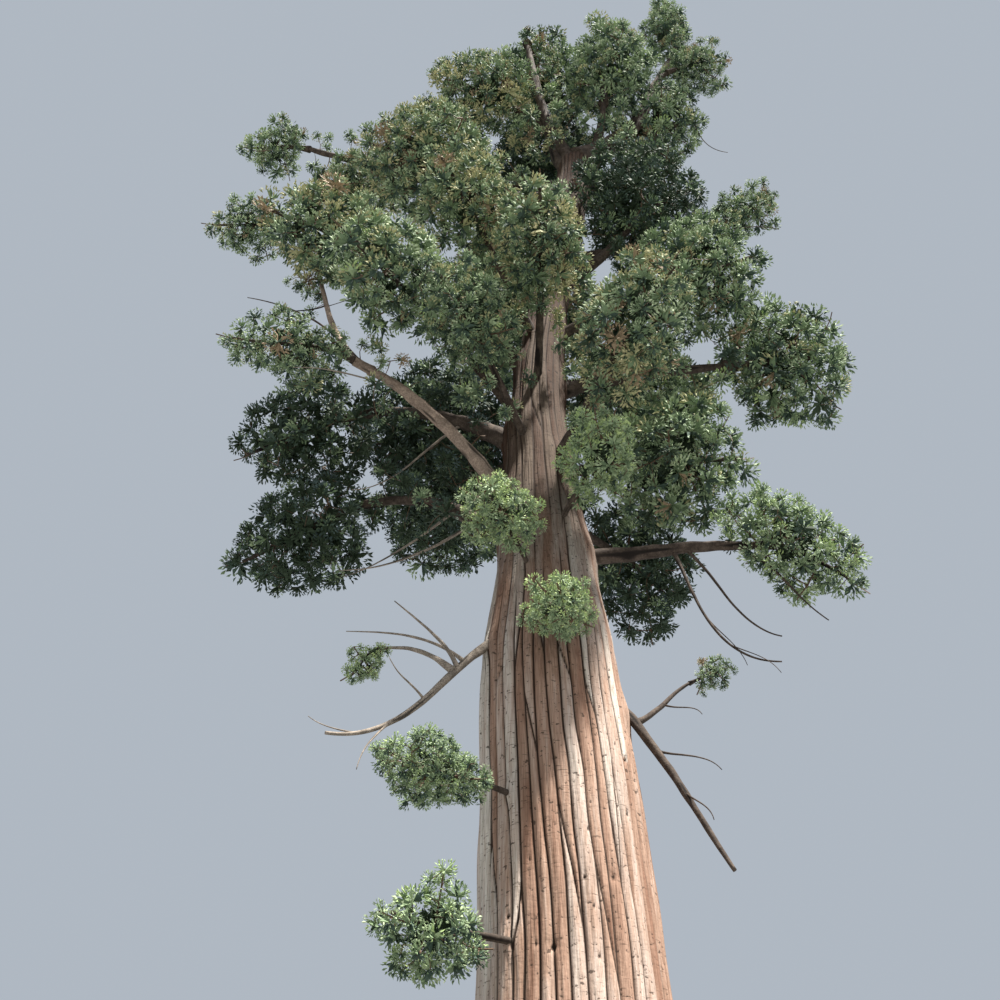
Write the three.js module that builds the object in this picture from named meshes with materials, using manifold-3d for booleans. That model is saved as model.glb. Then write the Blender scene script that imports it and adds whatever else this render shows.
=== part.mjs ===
// A giant sequoia, about 73 m tall in life, modelled evenly reduced to a height of 40 m.
// Millimetres, +Z up. The origin is the centre of the flat cut under the trunk, at ground level.
// Azimuths are in degrees round the trunk's foot: 0 is +X, 90 is +Y, 180 is -X and 270 is -Y.
import * as THREE from 'three';
import { mergeVertices } from 'three/addons/utils/BufferGeometryUtils.js';
import Module from 'manifold-3d';

const wasm = await Module();
wasm.setup();

// Driving dimensions
const HEIGHT = 40000;
const GAP = 0.3;
const LEAF_CLEARANCE = 6;
const SPACE_MARGIN = 4;

// The trunk's stations: height, radius, and how far its centre has drifted along +X
const TRUNK_STATIONS = [
  [0, 1760, 0],
  [2400, 1490, 0],
  [4800, 1370, 0],
  [7200, 1265, 0],
  [9600, 1195, -60],
  [12000, 1105, -150],
  [14400, 850, -160],
  [16800, 670, -210],
  [19200, 530, -180],
  [21600, 450, 60],
  [24000, 430, 380],
  [26400, 405, 790],
  [28900, 330, 1080],
];
const TRUNK_SIDES = 28;
const TRUNK_RINGS = 16;
const RING_CROWDING = 1.15;
const SEARCH_STEPS = 40;
const FLARE_RADIUS = 330;
const FLARE_HEIGHT = 650;

// Root lobes: two waves round the trunk's foot, the broad one half as deep, that fade upwards
const ROOT_LOBES = 7;
const BROAD_LOBES = 3;
const BROAD_LOBE_SHARE = 0.5;
const ROOT_LOBE_DEPTH = 0.16;
const ROOT_LOBE_HEIGHT = 1500;

// Boughs: a limb that carries a mass ends this share of the mass's half length back from its centre
const BOUGH_SIDES = 5;
const BOUGH_STEP = 1100;
const BOUGH_RINGS_LEAST = 4;
const BEND_CONTROL = 0.36;
const LIMB_END = 0.82;

// The stem of a mass, and its twigs, whose radii are shares of the stem's
const STEM_SIDES = 4;
const STEM_RINGS_LEAST = 2;
const STEM_END = 0.74;
const STEM_RISE = 22;
const STEM_RADIUS_SHARE = 0.05;
const STEM_SLENDERNESS = 0.008;
const STEM_RADIUS_LEFT = 0.35;
const STEM_DEEP = 0.55;
const ENTRY_STEP = 0.04;
const TWIG_SIDES = 3;
const TWIG_FOOT_RADIUS = 0.55;
const TWIG_TIP_RADIUS = 0.3;
const TWIG_LAST = 0.88;
const TWIG_SHARE = 0.32;

// Sprays of foliage: toothed blades, each standing for a spray of needles.
// The outline is in shares of the blade's width and length, and the ridge is where it is thickest.
const SPRAYS_DENSE = 7;
const SPRAYS_OPEN = 6;
const GOLDEN_TURN = Math.PI * (3 - Math.sqrt(5));
const TURN_PLAY = 0.5;
const FACING_RISE = 35;
const FACING_PLAY = 50;
const SPRAY_OUTLINE = [[0, 0], [0.5, 0.62], [0.2, 0.74], [0, 1], [-0.2, 0.74], [-0.5, 0.62]];
const SPRAY_RIDGE = 0.5;
const SPRAY_OVERLAP = 0.06;
const SPRAY_WIDTH = 0.66;
const SPRAY_THICKNESS = 0.1;
const SPRAY_SHORTEST = 150;

// The core of a dense mass, as a share of its space, and the lumps on it
const CORE_SIZE = 0.72;
const CORE_LUMP = 0.08;
const CORE_LUMP_WAVES = 4;
const SMOOTHING = 0.05;

// Materials
const BARK = new THREE.MeshStandardMaterial({ color: 0xb07a5c, roughness: 0.92, metalness: 0 });
const LIMB_BARK = new THREE.MeshStandardMaterial({ color: 0x8a6f5e, roughness: 0.9, metalness: 0 });
const DEAD_WOOD = new THREE.MeshStandardMaterial({ color: 0xb9aa98, roughness: 0.85, metalness: 0 });
const GREEN = new THREE.MeshStandardMaterial({ color: 0x74885a, roughness: 0.8, metalness: 0 });
const BRIGHT_GREEN = new THREE.MeshStandardMaterial({ color: 0x86a266, roughness: 0.8, metalness: 0 });
const OLIVE = new THREE.MeshStandardMaterial({ color: 0x8b8a58, roughness: 0.8, metalness: 0 });
const SHADE_GREEN = new THREE.MeshStandardMaterial({ color: 0x52684f, roughness: 0.8, metalness: 0 });

// Limbs: name, what carries it, where on that (a height on the trunk, a share of a limb's length),
// where it goes (a mass, or azimuth, reach and height), its rise at foot and tip in degrees,
// its radius at foot and tip, and its bark.
const LIMBS = [
  ['leader_tip', 'trunk', 28700, 'foliage_crown_tip', 42, 68, 250, 80, LIMB_BARK],
  ['leader_right', 'leader_tip', 0.2, 'foliage_crown_right', 25, 40, 150, 60, LIMB_BARK],
  ['leader_middle', 'leader_tip', 0.1, 'foliage_crown_middle', 80, 85, 130, 60, LIMB_BARK],
  ['leader_back', 'trunk', 28350, 'foliage_crown_back', 66, 84, 180, 70, LIMB_BARK],
  ['leader_left', 'trunk', 28000, 'foliage_crown_left', 48, 42, 170, 65, LIMB_BARK],
  ['bough_upper_left_long', 'trunk', 26600, 'foliage_wing_tip', 12, 30, 190, 65, LIMB_BARK],
  ['bough_upper_left_high', 'trunk', 27400, 'foliage_wing_back', 30, 20, 160, 65, LIMB_BARK],
  ['bough_left_long', 'trunk', 14700, 'foliage_left_hanging', 58, 12, 170, 80, LIMB_BARK],
  ['bough_left_far', 'bough_left_long', 0.93, 'foliage_left_far', 50, 58, 65, 33, LIMB_BARK],
  ['bough_front_left', 'trunk', 19600, 'foliage_left_front', 36, 8, 160, 60, LIMB_BARK],
  ['bough_left_low', 'trunk', 17200, 'foliage_left_low', 42, 2, 200, 80, LIMB_BARK],
  ['bough_left_shaded', 'trunk', 15000, 'foliage_left_shaded', 26, 8, 210, 80, LIMB_BARK],
  ['limb_dead', 'trunk', 12950, [204, 3730, 9960], -8, -6, 95, 24, DEAD_WOOD],
  ['limb_dead_fork', 'limb_dead', 0.46, 'foliage_left_tuft', 48, -10, 50, 22, DEAD_WOOD],
  ['bough_right_upper', 'trunk', 24100, 'foliage_right_upper', 14, 24, 120, 50, LIMB_BARK],
  ['bough_right_middle', 'trunk', 19200, 'foliage_right_outer', 16, 10, 170, 70, LIMB_BARK],
  ['bough_right_low', 'trunk', 14500, [357, 3650, 14760], 6, -2, 150, 70, LIMB_BARK],
  ['limb_hanging_long', 'bough_right_low', 0.6, [355, 3580, 12100], -76, -4, 36, 13, DEAD_WOOD],
  ['limb_hanging_short', 'bough_right_low', 0.66, [3, 3820, 13020], -46, -4, 30, 12, DEAD_WOOD],
  ['limb_right_low', 'trunk', 12500, [345, 2310, 8370], -40, -66, 105, 30, LIMB_BARK],
  ['limb_right_side', 'limb_right_low', 0.42, 'foliage_right_tuft', 24, 36, 50, 22, LIMB_BARK],
];

// Masses of foliage: name, what carries it, the height of its stem on the trunk (0 on a limb),
// azimuth, reach and height of its centre, its half sizes outwards, sideways and upwards,
// the tilt of its outward axis in degrees, whether it is dense, and its tint.
const MASSES = [
  ['foliage_crown_tip', 'leader_tip', 0, 4, 4400, HEIGHT - 2300, 2300, 1100, 1100, 90, false, GREEN],
  ['foliage_crown_right', 'leader_right', 0, 357, 4850, 33900, 1200, 950, 1450, 20, false, GREEN],
  ['foliage_crown_middle', 'leader_middle', 0, 344, 2300, 32900, 2400, 1650, 1500, 80, true, GREEN],
  ['foliage_crown_back', 'leader_back', 0, 70, 1000, 35300, 1700, 2000, 2250, 5, true, GREEN],
  ['foliage_crown_left', 'leader_left', 0, 194, 1500, 32000, 1850, 1500, 1800, 30, true, OLIVE],
  ['foliage_crown_side', 'trunk', 27600, 7, 3500, 31700, 1750, 1500, 1750, 15, true, GREEN],
  ['foliage_crown_behind', 'trunk', 27300, 80, 2200, 32300, 1900, 2200, 2800, 10, true, SHADE_GREEN],
  ['foliage_wing_tip', 'bough_upper_left_long', 0, 176, 7200, 30400, 1200, 1100, 1200, 10, false, GREEN],
  ['foliage_wing_back', 'bough_upper_left_high', 0, 165, 5200, 29300, 1700, 1600, 1500, 10, true, OLIVE],
  ['foliage_wing_inner', 'trunk', 25400, 188, 2900, 28300, 2100, 1800, 2400, 10, true, OLIVE],
  ['foliage_left_far', 'bough_left_far', 0, 188, 6750, 24000, 1200, 1000, 900, -5, false, GREEN],
  ['foliage_left_front', 'bough_front_left', 0, 202, 5100, 22300, 1650, 1350, 1700, 5, true, OLIVE],
  ['foliage_front_left_low', 'trunk', 17700, 226, 4250, 18900, 1750, 1250, 1500, 8, true, GREEN],
  ['foliage_front_left_high', 'trunk', 20600, 236, 2850, 22700, 1550, 1250, 1700, 15, true, OLIVE],
  ['foliage_front', 'trunk', 18900, 267, 2800, 20300, 1650, 1200, 1500, 10, true, OLIVE],
  ['foliage_left_hanging', 'bough_left_long', 0, 206, 5300, 17650, 1500, 900, 1000, -15, false, GREEN],
  ['foliage_front_left_inner', 'trunk', 17000, 240, 3150, 18150, 1450, 1000, 1150, 5, true, GREEN],
  ['foliage_left_low', 'bough_left_low', 0, 174, 4850, 18500, 1850, 1500, 1500, -20, true, SHADE_GREEN],
  ['foliage_left_shaded', 'bough_left_shaded', 0, 162, 5050, 16700, 1950, 1500, 1450, -15, true, SHADE_GREEN],
  ['foliage_left_inner', 'trunk', 18000, 149, 3000, 19900, 2150, 1700, 2000, 10, true, SHADE_GREEN],
  ['foliage_trunk_left', 'trunk', 13500, 244, 2150, 13850, 1000, 860, 720, 0, true, BRIGHT_GREEN],
  ['foliage_trunk_front', 'trunk', 12000, 268, 1950, 11850, 850, 720, 600, -8, true, BRIGHT_GREEN],
  ['foliage_trunk_right', 'trunk', 14700, 290, 2050, 15150, 1150, 850, 900, 5, true, BRIGHT_GREEN],
  ['foliage_low_upper', 'trunk', 9200, 227, 2700, 9050, 1100, 820, 540, -5, true, BRIGHT_GREEN],
  ['foliage_low_lower', 'trunk', 7100, 228, 2650, 6900, 900, 840, 860, 0, true, BRIGHT_GREEN],
  ['foliage_left_tuft', 'limb_dead_fork', 0, 196, 3150, 11650, 520, 480, 420, -55, false, BRIGHT_GREEN],
  ['foliage_right_tuft', 'limb_right_side', 0, 0, 2480, 12080, 520, 400, 400, 25, false, GREEN],
  ['foliage_right_upper', 'bough_right_upper', 0, 3, 5200, 26700, 1500, 800, 1000, 38, false, GREEN],
  ['foliage_right_high', 'trunk', 20900, 344, 3500, 22000, 1650, 1600, 1950, 12, true, GREEN],
  ['foliage_right_inner', 'trunk', 22900, 350, 2400, 25800, 1900, 1800, 2600, 15, true, SHADE_GREEN],
  ['foliage_front_right', 'trunk', 16500, 299, 3100, 18000, 1700, 1250, 1500, 5, true, OLIVE],
  ['foliage_right_outer', 'bough_right_middle', 0, 3, 5150, 20600, 1700, 1500, 2200, 12, true, GREEN],
  ['foliage_right_middle', 'trunk', 16600, 0, 2350, 17100, 1800, 1600, 1800, 5, true, GREEN],
  ['foliage_right_drooping', 'bough_right_low', 0, 355, 4150, 14600, 1750, 1000, 1050, -45, true, BRIGHT_GREEN],
  ['foliage_back_right_low', 'trunk', 15700, 55, 3400, 16900, 1600, 1500, 2100, 0, true, SHADE_GREEN],
  ['foliage_back_left', 'trunk', 17600, 118, 4200, 20000, 2200, 2200, 2400, 8, true, SHADE_GREEN],
  ['foliage_back_right', 'trunk', 19800, 50, 3900, 22300, 2200, 2100, 2500, 8, true, GREEN],
  ['foliage_back_high', 'trunk', 23800, 100, 3000, 26500, 2350, 2500, 3100, 12, true, GREEN],
];

// A seeded stream of numbers from 0 to 1
function randomFrom(seed) {
  let state = seed | 0;
  return () => {
    state = (state + 0x6d2b79f5) | 0;
    let mixed = Math.imul(state ^ (state >>> 15), 1 | state);
    mixed = (mixed + Math.imul(mixed ^ (mixed >>> 7), 61 | mixed)) ^ mixed;
    return ((mixed ^ (mixed >>> 14)) >>> 0) / 4294967296;
  };
}

// A unit vector that points to an azimuth and rises above the horizontal, both in degrees
function heading(azimuth, rise) {
  const turn = THREE.MathUtils.degToRad(azimuth);
  const lift = THREE.MathUtils.degToRad(rise);
  return new THREE.Vector3(Math.cos(turn) * Math.cos(lift), Math.sin(turn) * Math.cos(lift), Math.sin(lift));
}

function placed(azimuth, reach, height) {
  return heading(azimuth, 0).multiplyScalar(reach).setZ(height);
}

// A geometry of which only the welded vertices and the faces are left, its vertices moved by a rule
function reshaped(source, rule) {
  source.deleteAttribute('normal');
  source.deleteAttribute('uv');
  const geometry = mergeVertices(source);
  const position = geometry.getAttribute('position');
  const vertex = new THREE.Vector3();
  for (let i = 0; i < position.count; i += 1) {
    vertex.fromBufferAttribute(position, i);
    const moved = rule(vertex);
    position.setXYZ(i, moved.x, moved.y, moved.z);
  }
  return geometry;
}

function toSolid(geometry) {
  const vertProperties = new Float32Array(geometry.getAttribute('position').array);
  const triVerts = new Uint32Array(geometry.getIndex().array);
  return new wasm.Manifold(new wasm.Mesh({ numProp: 3, vertProperties, triVerts }));
}

function toGeometry(solid) {
  const mesh = solid.getMesh();
  const geometry = new THREE.BufferGeometry();
  geometry.setAttribute('position', new THREE.BufferAttribute(new Float32Array(mesh.vertProperties), 3));
  geometry.setIndex(new THREE.BufferAttribute(new Uint32Array(mesh.triVerts), 1));
  return geometry;
}

// The outer body of the largest piece: loose scraps and sealed hollows are left out
function largestBody(solid) {
  const bodies = solid.decompose();
  return bodies.reduce((best, body) => (body.volume() > best.volume() ? body : best));
}

// The trunk's centre and radius at a height, on a smooth line through its stations
const trunkLine = new THREE.CatmullRomCurve3(
  TRUNK_STATIONS.map(([height, radius, drift]) => new THREE.Vector3(drift, radius, height)),
  false,
  'catmullrom',
  0.5,
);

function trunkAt(height) {
  let low = 0;
  let high = 1;
  for (let step = 0; step < SEARCH_STEPS; step += 1) {
    const middle = (low + high) / 2;
    if (trunkLine.getPoint(middle).z < height) {
      low = middle;
    } else {
      high = middle;
    }
  }
  const found = trunkLine.getPoint(low);
  return { centre: new THREE.Vector3(found.x, 0, height), radius: found.y };
}

// The trunk with its root flare, grown sideways and at its top by a margin
function trunkSolid(margin) {
  const top = TRUNK_STATIONS[TRUNK_STATIONS.length - 1][0];
  const column = new THREE.CylinderGeometry(1, 1, 1, TRUNK_SIDES, TRUNK_RINGS);
  return toSolid(reshaped(column, (vertex) => {
    const share = vertex.y + 0.5;
    const height = top * share ** RING_CROWDING;
    const station = trunkAt(height);
    const turn = Math.atan2(-vertex.z, vertex.x);
    const flare = FLARE_RADIUS * Math.exp(-height / FLARE_HEIGHT);
    const lobes = Math.cos(ROOT_LOBES * turn) + BROAD_LOBE_SHARE * Math.cos(BROAD_LOBES * turn + 1);
    const swell = 1 + ROOT_LOBE_DEPTH * Math.exp(-height / ROOT_LOBE_HEIGHT) * lobes;
    const radius = ((station.radius + flare) * swell + margin) * Math.hypot(vertex.x, vertex.z);
    const lift = share === 1 ? margin : 0;
    return new THREE.Vector3(
      station.centre.x + radius * Math.cos(turn),
      radius * Math.sin(turn),
      height + lift,
    );
  }));
}

// A closed round tube along a curve, its radius changing evenly from foot to tip, grown by a margin
function taperedTube(curve, footRadius, tipRadius, sides, rings, margin = 0) {
  const frames = curve.computeFrenetFrames(rings, false);
  const column = new THREE.CylinderGeometry(1, 1, 1, sides, rings);
  return toSolid(reshaped(column, (vertex) => {
    const ring = Math.round((vertex.y + 0.5) * rings);
    const radius = THREE.MathUtils.lerp(footRadius, tipRadius, ring / rings) + margin;
    return curve.getPointAt(ring / rings)
      .addScaledVector(frames.normals[ring], radius * vertex.x)
      .addScaledVector(frames.binormals[ring], -radius * vertex.z)
      .addScaledVector(frames.tangents[ring], ring === rings ? margin : 0);
  }));
}

// The line from foot to tip of whatever leaves its foot in one direction and arrives in another
function bentLine(foot, footDirection, tip, tipDirection) {
  const control = foot.distanceTo(tip) * BEND_CONTROL;
  return new THREE.CubicBezierCurve3(
    foot,
    foot.clone().addScaledVector(footDirection, control),
    tip.clone().addScaledVector(tipDirection, -control),
    tip,
  );
}

function azimuthTo(foot, tip) {
  return THREE.MathUtils.radToDeg(Math.atan2(tip.y - foot.y, tip.x - foot.x));
}

// The space of a mass: an ellipsoid with its own axes, cut off by flat sides towards its neighbours
function spaceOf(row, index) {
  const [name, carrier, footHeight, azimuth, reach, height, out, wide, tall, tilt, dense, tint] = row;
  const centre = placed(azimuth, reach, height);
  const axes = [heading(azimuth, tilt), heading(azimuth + 90, 0), heading(azimuth, tilt + 90)];
  const half = [out, wide, tall];
  return { name, carrier, footHeight, centre, axes, half, dense, tint, seed: index + 1, sides: [] };
}

function toSpace(space, vector) {
  return new THREE.Vector3(...space.axes.map((axis, i) => axis.dot(vector) / space.half[i]));
}

function fromSpace(space, vector) {
  const result = new THREE.Vector3();
  vector.toArray().forEach((share, i) => result.addScaledVector(space.axes[i], share * space.half[i]));
  return result;
}

function shapeMatrix(space) {
  const entries = new Array(9).fill(0);
  space.axes.forEach((axis, i) => {
    const parts = axis.toArray();
    for (let row = 0; row < 3; row += 1) {
      for (let column = 0; column < 3; column += 1) {
        entries[3 * row + column] += space.half[i] ** 2 * parts[row] * parts[column];
      }
    }
  });
  return entries;
}

function supportAlong(space, direction) {
  return Math.hypot(...space.axes.map((axis, i) => axis.dot(direction) * space.half[i]));
}

// Two spaces that would overlap share a flat side between them
function separate(first, second) {
  const across = second.centre.clone().sub(first.centre);
  const sum = shapeMatrix(first).map((entry, i) => entry + shapeMatrix(second)[i]);
  const normal = across.clone().applyMatrix3(new THREE.Matrix3().fromArray(sum).invert()).normalize();
  const firstReach = supportAlong(first, normal);
  const secondReach = supportAlong(second, normal);
  const distance = normal.dot(across);
  if (distance < firstReach + secondReach) {
    const offset = normal.dot(first.centre) + distance * firstReach / (firstReach + secondReach);
    first.sides.push({ normal, offset: offset - SPACE_MARGIN });
    second.sides.push({ normal: normal.clone().negate(), offset: -offset - SPACE_MARGIN });
  }
}

// How far a ray may go before it leaves the space
function roomAlong(space, start, direction) {
  const from = toSpace(space, start.clone().sub(space.centre));
  const along = toSpace(space, direction);
  const a = along.lengthSq();
  const b = from.dot(along);
  const c = from.lengthSq() - 1;
  let room = (-b + Math.sqrt(Math.max(0, b * b - a * c))) / a;
  space.sides.forEach(({ normal, offset }) => {
    const approach = normal.dot(direction);
    if (approach > 0) {
      room = Math.min(room, (offset - normal.dot(start)) / approach);
    }
  });
  return room;
}

function holds(space, geometry) {
  const position = geometry.getAttribute('position');
  const vertex = new THREE.Vector3();
  for (let i = 0; i < position.count; i += 1) {
    vertex.fromBufferAttribute(position, i);
    if (space.sides.some(({ normal, offset }) => normal.dot(vertex) > offset)) {
      return false;
    }
  }
  return true;
}

// A toothed blade from root to tip: three teeth, thickest in the middle and sharp at its edge
function sprayBlade(root, tip, facing) {
  const length = root.distanceTo(tip);
  const along = tip.clone().sub(root).normalize();
  const across = new THREE.Vector3().crossVectors(along, facing).normalize();
  const normal = new THREE.Vector3().crossVectors(across, along);
  const at = (side, forward, height) => root.clone()
    .addScaledVector(across, side * SPRAY_WIDTH * length)
    .addScaledVector(along, forward * length)
    .addScaledVector(normal, height * length);
  const points = SPRAY_OUTLINE.map(([side, forward]) => at(side, forward, 0));
  points.push(at(0, SPRAY_RIDGE, SPRAY_THICKNESS / 2), at(0, SPRAY_RIDGE, -SPRAY_THICKNESS / 2));
  const faces = [];
  const top = SPRAY_OUTLINE.length;
  for (let i = 0; i < top; i += 1) {
    const next = (i + 1) % top;
    faces.push(i, next, top, next, i, top + 1);
  }
  return new THREE.BufferGeometry().setFromPoints(points).setIndex(faces);
}

// The solid core of a dense mass, lumpy, kept off its neighbours and clear of the limbs
function coreSolid(space, obstacles) {
  const ball = new THREE.OctahedronGeometry(1, 1);
  let core = toSolid(reshaped(ball, (vertex) => {
    const across = CORE_LUMP_WAVES * vertex.x + space.seed;
    const along = CORE_LUMP_WAVES * vertex.y - space.seed;
    const lump = Math.sin(across) * Math.cos(along);
    const swollen = vertex.clone().multiplyScalar(CORE_SIZE * (1 + CORE_LUMP * lump));
    return fromSpace(space, swollen).add(space.centre);
  }));
  space.sides.forEach(({ normal, offset }) => {
    core = core.trimByPlane(normal.clone().negate().toArray(), -offset);
  });
  obstacles.forEach((obstacle) => {
    core = core.subtract(obstacle);
  });
  return core;
}

// The share of its length at which a stem has come well into the space
function stemEntry(space, curve) {
  let share = 0;
  while (share < TWIG_LAST && toSpace(space, curve.getPoint(share).sub(space.centre)).length() > STEM_DEEP) {
    share += ENTRY_STEP;
  }
  return share;
}

// A mass: one stem from its foot, twigs that fan out evenly round it, and a spray at each twig's end
function massSolid(space, foot, footDirection, carved, obstacles) {
  const random = randomFrom(space.seed);
  const stemEnd = space.centre.clone().add(fromSpace(space, new THREE.Vector3(STEM_END, 0, 0)));
  const stemCurve = bentLine(foot, footDirection, stemEnd, space.axes[0]);
  const slimmest = Math.min(...space.half);
  const stemRadius = STEM_RADIUS_SHARE * slimmest + STEM_SLENDERNESS * foot.distanceTo(stemEnd);
  const rings = Math.max(STEM_RINGS_LEAST, Math.round(stemCurve.getLength() / BOUGH_STEP));
  const stem = taperedTube(stemCurve, stemRadius, stemRadius * STEM_RADIUS_LEFT, STEM_SIDES, rings);
  const pieces = [carved.reduce((solid, carver) => largestBody(solid.subtract(carver)), stem)];
  const clear = (solid) => obstacles.every((obstacle) => obstacle.intersect(solid).isEmpty());
  if (space.dense) {
    pieces.push(coreSolid(space, obstacles));
  }

  const entry = stemEntry(space, stemCurve);
  const last = space.dense ? SPRAYS_DENSE : SPRAYS_OPEN;
  for (let i = 0; i <= last; i += 1) {
    const forward = 1 - 2 * i / last;
    const turn = i * GOLDEN_TURN + random() * TURN_PLAY;
    const ring = Math.sqrt(Math.max(0, 1 - forward * forward));
    const aim = fromSpace(space, new THREE.Vector3(forward, ring * Math.cos(turn), ring * Math.sin(turn)));
    const start = stemCurve.getPoint(THREE.MathUtils.mapLinear(forward, -1, 1, entry, TWIG_LAST));
    const direction = space.centre.clone().add(aim).sub(start).normalize();
    const room = roomAlong(space, start, direction);
    const facing = heading(360 * random(), FACING_RISE + FACING_PLAY * random());
    if (room * (1 - TWIG_SHARE) < SPRAY_SHORTEST) {
      continue;
    }
    const joint = start.clone().addScaledVector(direction, room * TWIG_SHARE);
    const root = start.clone().addScaledVector(direction, room * (TWIG_SHARE - SPRAY_OVERLAP));
    const tip = start.clone().addScaledVector(direction, room);
    const twigCurve = new THREE.LineCurve3(start, joint);
    const twigFoot = stemRadius * TWIG_FOOT_RADIUS;
    const twigTip = stemRadius * TWIG_TIP_RADIUS;
    const twig = taperedTube(twigCurve, twigFoot, twigTip, TWIG_SIDES, 1);
    const blade = sprayBlade(root, tip, facing);
    const spray = toSolid(blade);
    if (holds(space, blade) && clear(spray) && clear(twig)) {
      pieces.push(twig, spray);
    }
  }
  return largestBody(wasm.Manifold.union(pieces)).simplify(SMOOTHING);
}

const tree = new THREE.Group();

function addNode(name, solid, material) {
  const mesh = new THREE.Mesh(toGeometry(solid), material);
  mesh.name = name;
  tree.add(mesh);
}

const spaces = MASSES.map(spaceOf);
spaces.forEach((space, i) => spaces.slice(i + 1).forEach((other) => separate(space, other)));

// Each limb is cut clear of the trunk and of the limbs before it
const trunkCarver = trunkSolid(GAP);
const limbs = new Map();
const carvers = [trunkCarver];
const obstacles = [trunkSolid(LEAF_CLEARANCE)];
addNode('trunk', trunkSolid(0), BARK);
LIMBS.forEach(([name, carrier, at, goal, footRise, tipRise, footRadius, tipRadius, bark]) => {
  const foot = carrier === 'trunk' ? trunkAt(at).centre : limbs.get(carrier).getPoint(at);
  let tip;
  if (Array.isArray(goal)) {
    tip = placed(...goal);
  } else {
    const space = spaces.find((candidate) => candidate.name === goal);
    tip = space.centre.clone().add(fromSpace(space, new THREE.Vector3(-LIMB_END, 0, 0)));
  }
  const azimuth = azimuthTo(foot, tip);
  const curve = bentLine(foot, heading(azimuth, footRise), tip, heading(azimuth, tipRise));
  const rings = Math.max(BOUGH_RINGS_LEAST, Math.round(curve.getLength() / BOUGH_STEP));
  const grown = (margin) => taperedTube(curve, footRadius, tipRadius, BOUGH_SIDES, rings, margin);
  const solid = carvers.reduce((left, carver) => largestBody(left.subtract(carver)), grown(0));
  carvers.push(grown(GAP));
  obstacles.push(grown(LEAF_CLEARANCE));
  limbs.set(name, curve);
  addNode(name, solid, bark);
});

spaces.forEach((space) => {
  if (space.carrier === 'trunk') {
    const foot = trunkAt(space.footHeight).centre;
    const direction = heading(azimuthTo(foot, space.centre), STEM_RISE);
    addNode(space.name, massSolid(space, foot, direction, carvers, obstacles), space.tint);
  } else {
    const curve = limbs.get(space.carrier);
    const direction = curve.getTangent(1);
    const foot = curve.getPoint(1).addScaledVector(direction, GAP);
    addNode(space.name, massSolid(space, foot, direction, [], obstacles), space.tint);
  }
});

export default tree;
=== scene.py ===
"""A giant sequoia tree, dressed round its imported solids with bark, limbs, twigs and sprays of leaves.

Lengths are in metres, +Z is up, and the origin is the centre of the trunk's flat cut at ground level.
Azimuths are in degrees round the trunk: 0 is +X, 90 is +Y, 180 is -X and 270 is -Y.
"""
import math
from collections import namedtuple

import bpy
import numpy as np
from bpy.props import FloatProperty, FloatVectorProperty, IntProperty, PointerProperty
from bpy.types import Operator, Panel, PropertyGroup
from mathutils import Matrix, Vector


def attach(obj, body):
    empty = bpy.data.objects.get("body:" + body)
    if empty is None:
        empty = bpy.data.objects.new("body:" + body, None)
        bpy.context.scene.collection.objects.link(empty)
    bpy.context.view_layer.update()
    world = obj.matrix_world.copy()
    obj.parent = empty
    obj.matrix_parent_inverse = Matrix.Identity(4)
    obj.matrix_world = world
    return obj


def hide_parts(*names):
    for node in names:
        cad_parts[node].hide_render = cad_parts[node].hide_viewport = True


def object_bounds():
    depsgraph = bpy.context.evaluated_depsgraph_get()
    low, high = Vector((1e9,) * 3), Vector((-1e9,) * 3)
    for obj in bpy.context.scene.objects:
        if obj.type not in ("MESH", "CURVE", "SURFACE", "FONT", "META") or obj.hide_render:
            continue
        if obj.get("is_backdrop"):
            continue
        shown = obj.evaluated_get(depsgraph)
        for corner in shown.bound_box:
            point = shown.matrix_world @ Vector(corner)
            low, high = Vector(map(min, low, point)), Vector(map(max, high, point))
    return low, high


bl_info = {
    "name": "Giant Sequoia",
    "version": (1, 0, 0),
    "blender": (4, 5, 0),
    "location": "View3D > Sidebar > Sequoia",
    "description": "Bark, limbs, twigs and leaf sprays of a giant sequoia",
    "category": "Object",
}

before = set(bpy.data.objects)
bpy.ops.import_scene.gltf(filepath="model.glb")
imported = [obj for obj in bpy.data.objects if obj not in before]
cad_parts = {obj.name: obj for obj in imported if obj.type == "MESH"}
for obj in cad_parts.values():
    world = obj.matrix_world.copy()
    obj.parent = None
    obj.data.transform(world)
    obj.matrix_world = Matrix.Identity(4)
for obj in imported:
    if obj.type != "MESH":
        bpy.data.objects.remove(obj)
CAD_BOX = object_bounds()

# The trunk's stations: height, radius, and how far its centre has drifted along +X
TRUNK_STATIONS = (
    (0, 1.76, 0),
    (2.4, 1.49, 0),
    (4.8, 1.37, 0),
    (7.2, 1.265, 0),
    (9.6, 1.195, -0.06),
    (12, 1.105, -0.15),
    (14.4, 0.85, -0.16),
    (16.8, 0.67, -0.21),
    (19.2, 0.53, -0.18),
    (21.6, 0.45, 0.06),
    (24, 0.43, 0.38),
    (26.4, 0.405, 0.79),
    (28.9, 0.33, 1.08),
)
TRUNK_TOP = TRUNK_STATIONS[-1][0]
STATION_STEPS = 64
FLARE_RADIUS = 0.33
FLARE_HEIGHT = 0.65
ROOT_LOBES = 7
BROAD_LOBES = 3
BROAD_LOBE_SHARE = 0.5
ROOT_LOBE_DEPTH = 0.16
ROOT_LOBE_HEIGHT = 1.5

# The trunk's bark is two meshes that meet at one height, each with so many sides and rings
TRUNK_SEAM = 11.0
TRUNK_TURNS = 560
TRUNK_RINGS = 170
TRUNK_TUCK = 0.003
FLAT_MARGIN = 0.001
TRUNK_DOME = 0.45
# Fewer plates go round the trunk higher up, and they take over between these two heights
PLATE_LENGTH = 9.0
PLATES_MERGE = (12.5, 16.0)

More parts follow.
